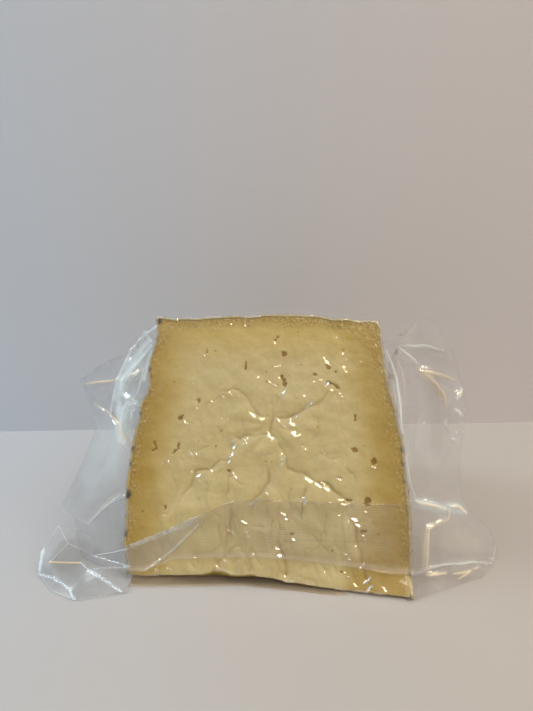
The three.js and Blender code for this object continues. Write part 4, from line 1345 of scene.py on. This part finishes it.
class CHEESE_OT_film_wing(bpy.types.Operator):
    """Spread the bag's two side wings, each of two layers that part where they reach the cheese"""

    bl_idname = "cheese.film_wing"
    bl_label = "Side wings"

    def execute(self, context):
        for name, wing in WINGS.items():
            self.build("film_wing_" + name, wing, film_material(
                "loose film " + name, 0.045, 0.10, wing["tint"], 0.08, patched=True))
        return {"FINISHED"}

    def build(self, name, wing, material):
        size = sizes_mm()
        side, right, seed = wing["side"], wing["side"] > 0, 70 + wing["side"]
        piece, upwards, outwards = new_grid(name, *CELLS["wing"])
        first = len(upwards)
        edge = along_line(wing["outline"], upwards)
        root = mix(*wing["root"], upwards)
        cut = level_at(CUT_RIGHT if right else CUT_LEFT, root)
        out = mix(side * cut - wing["edge"] - 1, edge[:, 0], outwards)
        up = mix(root, edge[:, 1], outwards)
        loose = rise(out, 0, 5)
        lift, shine = self.folds(wing, out, up)
        lift = lift * (0.3 + 0.7 * loose) + 0.55 * rise(out, 1, -1)
        lift += wing["facets"] * facets(out, up, 17, seed) * rise(out, 2, 12)
        lift += 0.015 * ripple(out, up, 3.2, seed + 5) * loose
        apart = (ROOT_THICK - size["sheet"]) * rise(out, ROOT_REACH, 0) ** 2
        apart = apart * rise(wing["root"][1] - up, -1, 10)
        place_corners(piece, self.points(wing, out, up, lift + 0.05))
        behind = lift - apart - 0.12 * ripple(out, up, 5, seed + 9) * loose - 0.1
        calm = np.maximum(rise(up, 7, 5.5) * (wing["foot"] > 0), rise(out, 1.5, -0.5))
        calm = np.maximum(calm, rise(up, 76, 82) * rise(out, 16, 9) * right)
        keep_numbers(piece, calm=np.maximum(0.92 * calm, wing["calm"]), **shine)
        if right:
            piece.data.flip_normals()
        thicken(piece, size["sheet"], -1)
        placed = corners(piece) / MM
        placed[first:2 * first] += self.points(wing, out, up, behind) - placed[:first]
        placed[:, 2] = np.maximum(placed[:, 2], FLOOR["film"])
        place_corners(piece, placed)
        face_outwards(piece)
        finish_piece(piece, material)

    def folds(self, wing, out, up):
        """How far the wing's folds lift it, and how strongly its painted highlights and painted
        shade show.
        """
        lift = np.zeros(len(out))
        cool_shine, warm_shine, umber = np.zeros(len(out)), np.zeros(len(out)), np.zeros(len(out))
        bend = 0.4 * ripple(out, up, 9, 77)
        for height, reach, cool, warm, points in wing["folds"]:
            bends = bend * min(1, reach)
            away, share = distance_to(points, out + bends, up - bends)
            along = 0.35 + 0.65 * np.sin(math.pi * np.clip(share, 0.08, 0.92))
            lift += height * creased(away, reach) * along
            crest = 0.8 * rounded(away, 0.28 * reach + 0.1) + 0.2 * rounded(away, 1.3 * reach)
            crest = crest * along
            cool_shine = np.maximum(cool_shine, cool * crest)
            warm_shine = np.maximum(warm_shine, max(warm, wing["whiten"] * cool) * crest)
        for width, cool, warm, points in wing["sheens"]:
            soft = rounded(distance_to(points, out, up)[0], width)
            cool_shine += cool * soft
            warm_shine += warm * soft
        for width, strength, points in wing["shades"]:
            umber += strength * rounded(distance_to(points, out, up)[0], width)
        return lift, {"shine_cool": cool_shine, "shine_warm": warm_shine, "shine_umber": umber}

    def points(self, wing, out, up, lift):
        """Points out and up from the edge of the cut face, lifted off the wing's plane."""
        turn, side = math.radians(wing["turned_back"]), wing["side"]
        sideways = np.array([side, 0, 0])
        outwards = math.cos(turn) * sideways - math.sin(turn) * OFF_FACE
        towards = math.sin(turn) * sideways + math.cos(turn) * OFF_FACE
        fold = FOOT["fold"] + FOOT["rise"] * np.maximum(0, out)
        below = np.clip((fold - up) / FOOT["length"], 0, 1)
        below = below * wing["foot"] * rise(out, -FOOT["clear"], 0)
        place = face_point(np.full_like(out, side * wing["edge"]), up + below, 0 * out)
        off_edge = np.multiply.outer(out, outwards) + np.multiply.outer(lift, towards)
        inside = np.multiply.outer(out, sideways) + np.multiply.outer(lift, OFF_FACE)
        place += np.where((out > 0)[:, None], off_edge, inside)
        place[:, 0] -= FOOT["slant"] * below
        place[:, 1] -= below
        on_table = 0.1 + 0.25 * (lift > 0)
        place[:, 2] = np.maximum(mix(place[:, 2], on_table, below / FOOT["length"]), 0.05)
        return place


class CHEESE_OT_seal_band(bpy.types.Operator):
    """Fold the ribbed seal band up over the foot of the cut face, with a tent at its left end and a
    sheet of painted shadow under the lifted edge
    """

    bl_idname = "cheese.seal_band"
    bl_label = "Seal band"

    def execute(self, context):
        self.band()
        self.under()
        self.tent()
        return {"FINISHED"}

    def band(self):
        size = sizes_mm()
        piece, across, share = new_grid("seal_band", *CELLS["band"])
        x = mix(*BAND_SPAN, across)
        up = mix(level_at(BAND_BOTTOM, x), level_at(BAND_TOP, x), share)
        above, under = up - level_at(BAND_BOTTOM, x), level_at(BAND_TOP, x) - up
        turn = distance_to(BAND_TURN, x, up)[0]
        knurl, along = distance_to(BAND_KNURL, x, up)
        lift = size["gap"] + BAND_STAND_OFF + face_relief(x, up, film=True) + film_relief(x, up)
        lift += 0.30 * rounded(turn, 0.5) + 0.12 * rise(above, 2.5, 0)
        lift += 0.12 * rounded(knurl, 0.6) * (1 + np.sin(along * 2 * math.pi * BAND_KNURLS))
        place_corners(piece, toed_out(face_point(x, up, tilt_facets(x, up, lift))))
        turned_over = rise(up - level_at(BAND_TURN[::-1], x), -0.3, 0.3) * rise(x, -21, -23)
        hem = 0.4 * rounded(above - 0.8, 0.7) * (1 + 0.6 * ripple(x, up, 6, 82))
        hem = hem + 0.8 * rise(above, 2.4, 1.2)
        rim = rounded(under - 0.15, 0.3) * (0.5 + 0.6 * ripple(x, up, 5, 83))
        rim = rim + 0.7 * rounded(up - 15.5, 0.25) * rise(x, 4, 16)
        knurled = rise(under, 2.4, 0.8) * rise(x, -20, -24) * rise(x, -46.8, -44)
        # Painted highlights on the knurls, on the turned-over end and along its fold, and along the
        # hem, the free upper edge and a line across the band.
        keep_numbers(
            piece, calm=rise(x, 43, 47), knurl=rise(knurled, 0.1, 0.4),
            ribs=0.5 + 0.5 * ripple(x * 0.3, up, 5, 84) + 0.4 * turned_over,
            shine_cool=0.35 * knurled + 0.10 * turned_over + 0.16 * rounded(turn, 0.35),
            shine_warm=np.maximum(0, 0.14 * hem + 0.10 * rim))
        thicken(piece, size["sheet"], -1)
        finish_piece(piece, film_material("ribbed seal film", 0.03, 0.045, BAND_TINT, 0.06,
                                          ribbed=0.025))

    # A brown sheet on the table under the lifted front edge: painted shadow, darker towards its
    # front.
    def under(self):
        piece, across, share = new_grid("painted_shadow_sheet", *CELLS["under"])
        x = mix(*UNDER_SPAN, across)
        front, back = level_at(UNDER_FRONT, x), level_at(UNDER_BACK, x)
        y, depth = mix(front, back, share), back - front
        place_corners(piece, np.stack([x, y, 0.16 + 0.05 * ripple(x, y, 4, 85)], -1))
        fade = rise(share, 0, 0.42) * rise(x, 30, 20)
        umber = 0.25 * rise(share * depth, 7, 3) * fade
        keep_numbers(piece, shine_amber=fade - umber, shine_umber=umber, calm=np.ones(len(x)))
        thicken(piece, 0.1, 1)
        finish_piece(piece, film_material("painted shadow under the edge", 0.01, 0.0, PAINTED_SHADOW_TINT, 0.3))

    def tent(self):
        mesh = bpy.data.meshes.new("film_tent")
        names = list(TENT_POINTS)
        mesh.from_pydata([Vector(place) * MM for place in TENT_POINTS.values()], [],
                         [[names.index(name) for name in facet] for facet in TENT_FACETS])
        piece = bpy.data.objects.new("film_tent", mesh)
        bpy.context.scene.collection.objects.link(piece)
        pick(piece)
        face_outwards(piece)
        bpy.ops.object.mode_set(mode="EDIT")
        for _ in range(TENT_HALVINGS):
            bpy.ops.mesh.subdivide(number_cuts=1)
        bpy.ops.object.mode_set(mode="OBJECT")
        points = corners(piece) / MM
        knurled, cool_shine, warm_shine = (np.zeros(len(points)) for _ in range(3))
        for width, cool, warm, dotted, line in TENT_SHINES:
            away, _ = distance_to([TENT_POINTS[name] for name in line], *points.T)
            knurled = np.maximum(knurled, dotted * rise(away, 2 * width, width))
            cool_shine = np.maximum(cool_shine, cool * rounded(away, width * 0.6))
            warm_shine = np.maximum(warm_shine, warm * rounded(away, width * 0.6))
        # Painted shade, and less mirror, on the dark facets of the tent.
        inner = rise(np.linalg.norm(points - TENT_DARK, axis=1), 9, 5)
        keep_numbers(piece, shine_cool=cool_shine, shine_warm=warm_shine, knurl=knurled,
                     calm=0.6 + 0.38 * inner, shine_umber=0.12 * inner)
        sag = 0.25 * ripple(points[:, 0], points[:, 1], 7, 91) * rise(points[:, 2], 0.8, 3)
        points[:, 2] = np.maximum(points[:, 2] + sag, TENT_LEAST)
        place_corners(piece, points)
        thicken(piece, sizes_mm()["sheet"], -1)
        finish_piece(piece, film_material("seal end film", 0.012, 0.15, TENT_TINT, 0.25,
                                          patched=True))


class CHEESE_PT_panel(bpy.types.Panel):
    """Lists the pieces of the wedge and the values behind them"""

    bl_label = "Sealed cheese wedge"
    bl_idname = "CHEESE_PT_panel"
    bl_space_type = "VIEW_3D"
    bl_region_type = "UI"
    bl_category = "Cheese"

    def draw(self, context):
        for operator in OPERATORS:
            self.layout.operator(operator.bl_idname)
        for group in (context.scene.cheese_sizes, context.scene.cheese_colours):
            box = self.layout.box()
            for name in group.__annotations__:
                box.prop(group, name)


OPERATORS = (CHEESE_OT_stage, CHEESE_OT_paste, CHEESE_OT_rind, CHEESE_OT_film_skin,
             CHEESE_OT_film_wing, CHEESE_OT_seal_band)
CLASSES = (CheeseSizes, CheeseColours, *OPERATORS, CHEESE_PT_panel)


def register():
    for each in CLASSES:
        bpy.utils.register_class(each)
    bpy.types.Scene.cheese_sizes = PointerProperty(type=CheeseSizes)
    bpy.types.Scene.cheese_colours = PointerProperty(type=CheeseColours)


def unregister():
    del bpy.types.Scene.cheese_colours
    del bpy.types.Scene.cheese_sizes
    for each in reversed(CLASSES):
        bpy.utils.unregister_class(each)


def main():
    register()
    bpy.ops.cheese.stage()
    bpy.ops.cheese.paste()
    bpy.ops.cheese.rind()
    bpy.ops.cheese.film_skin()
    bpy.ops.cheese.film_wing()
    bpy.ops.cheese.seal_band()


if __name__ == "__main__":
    main()
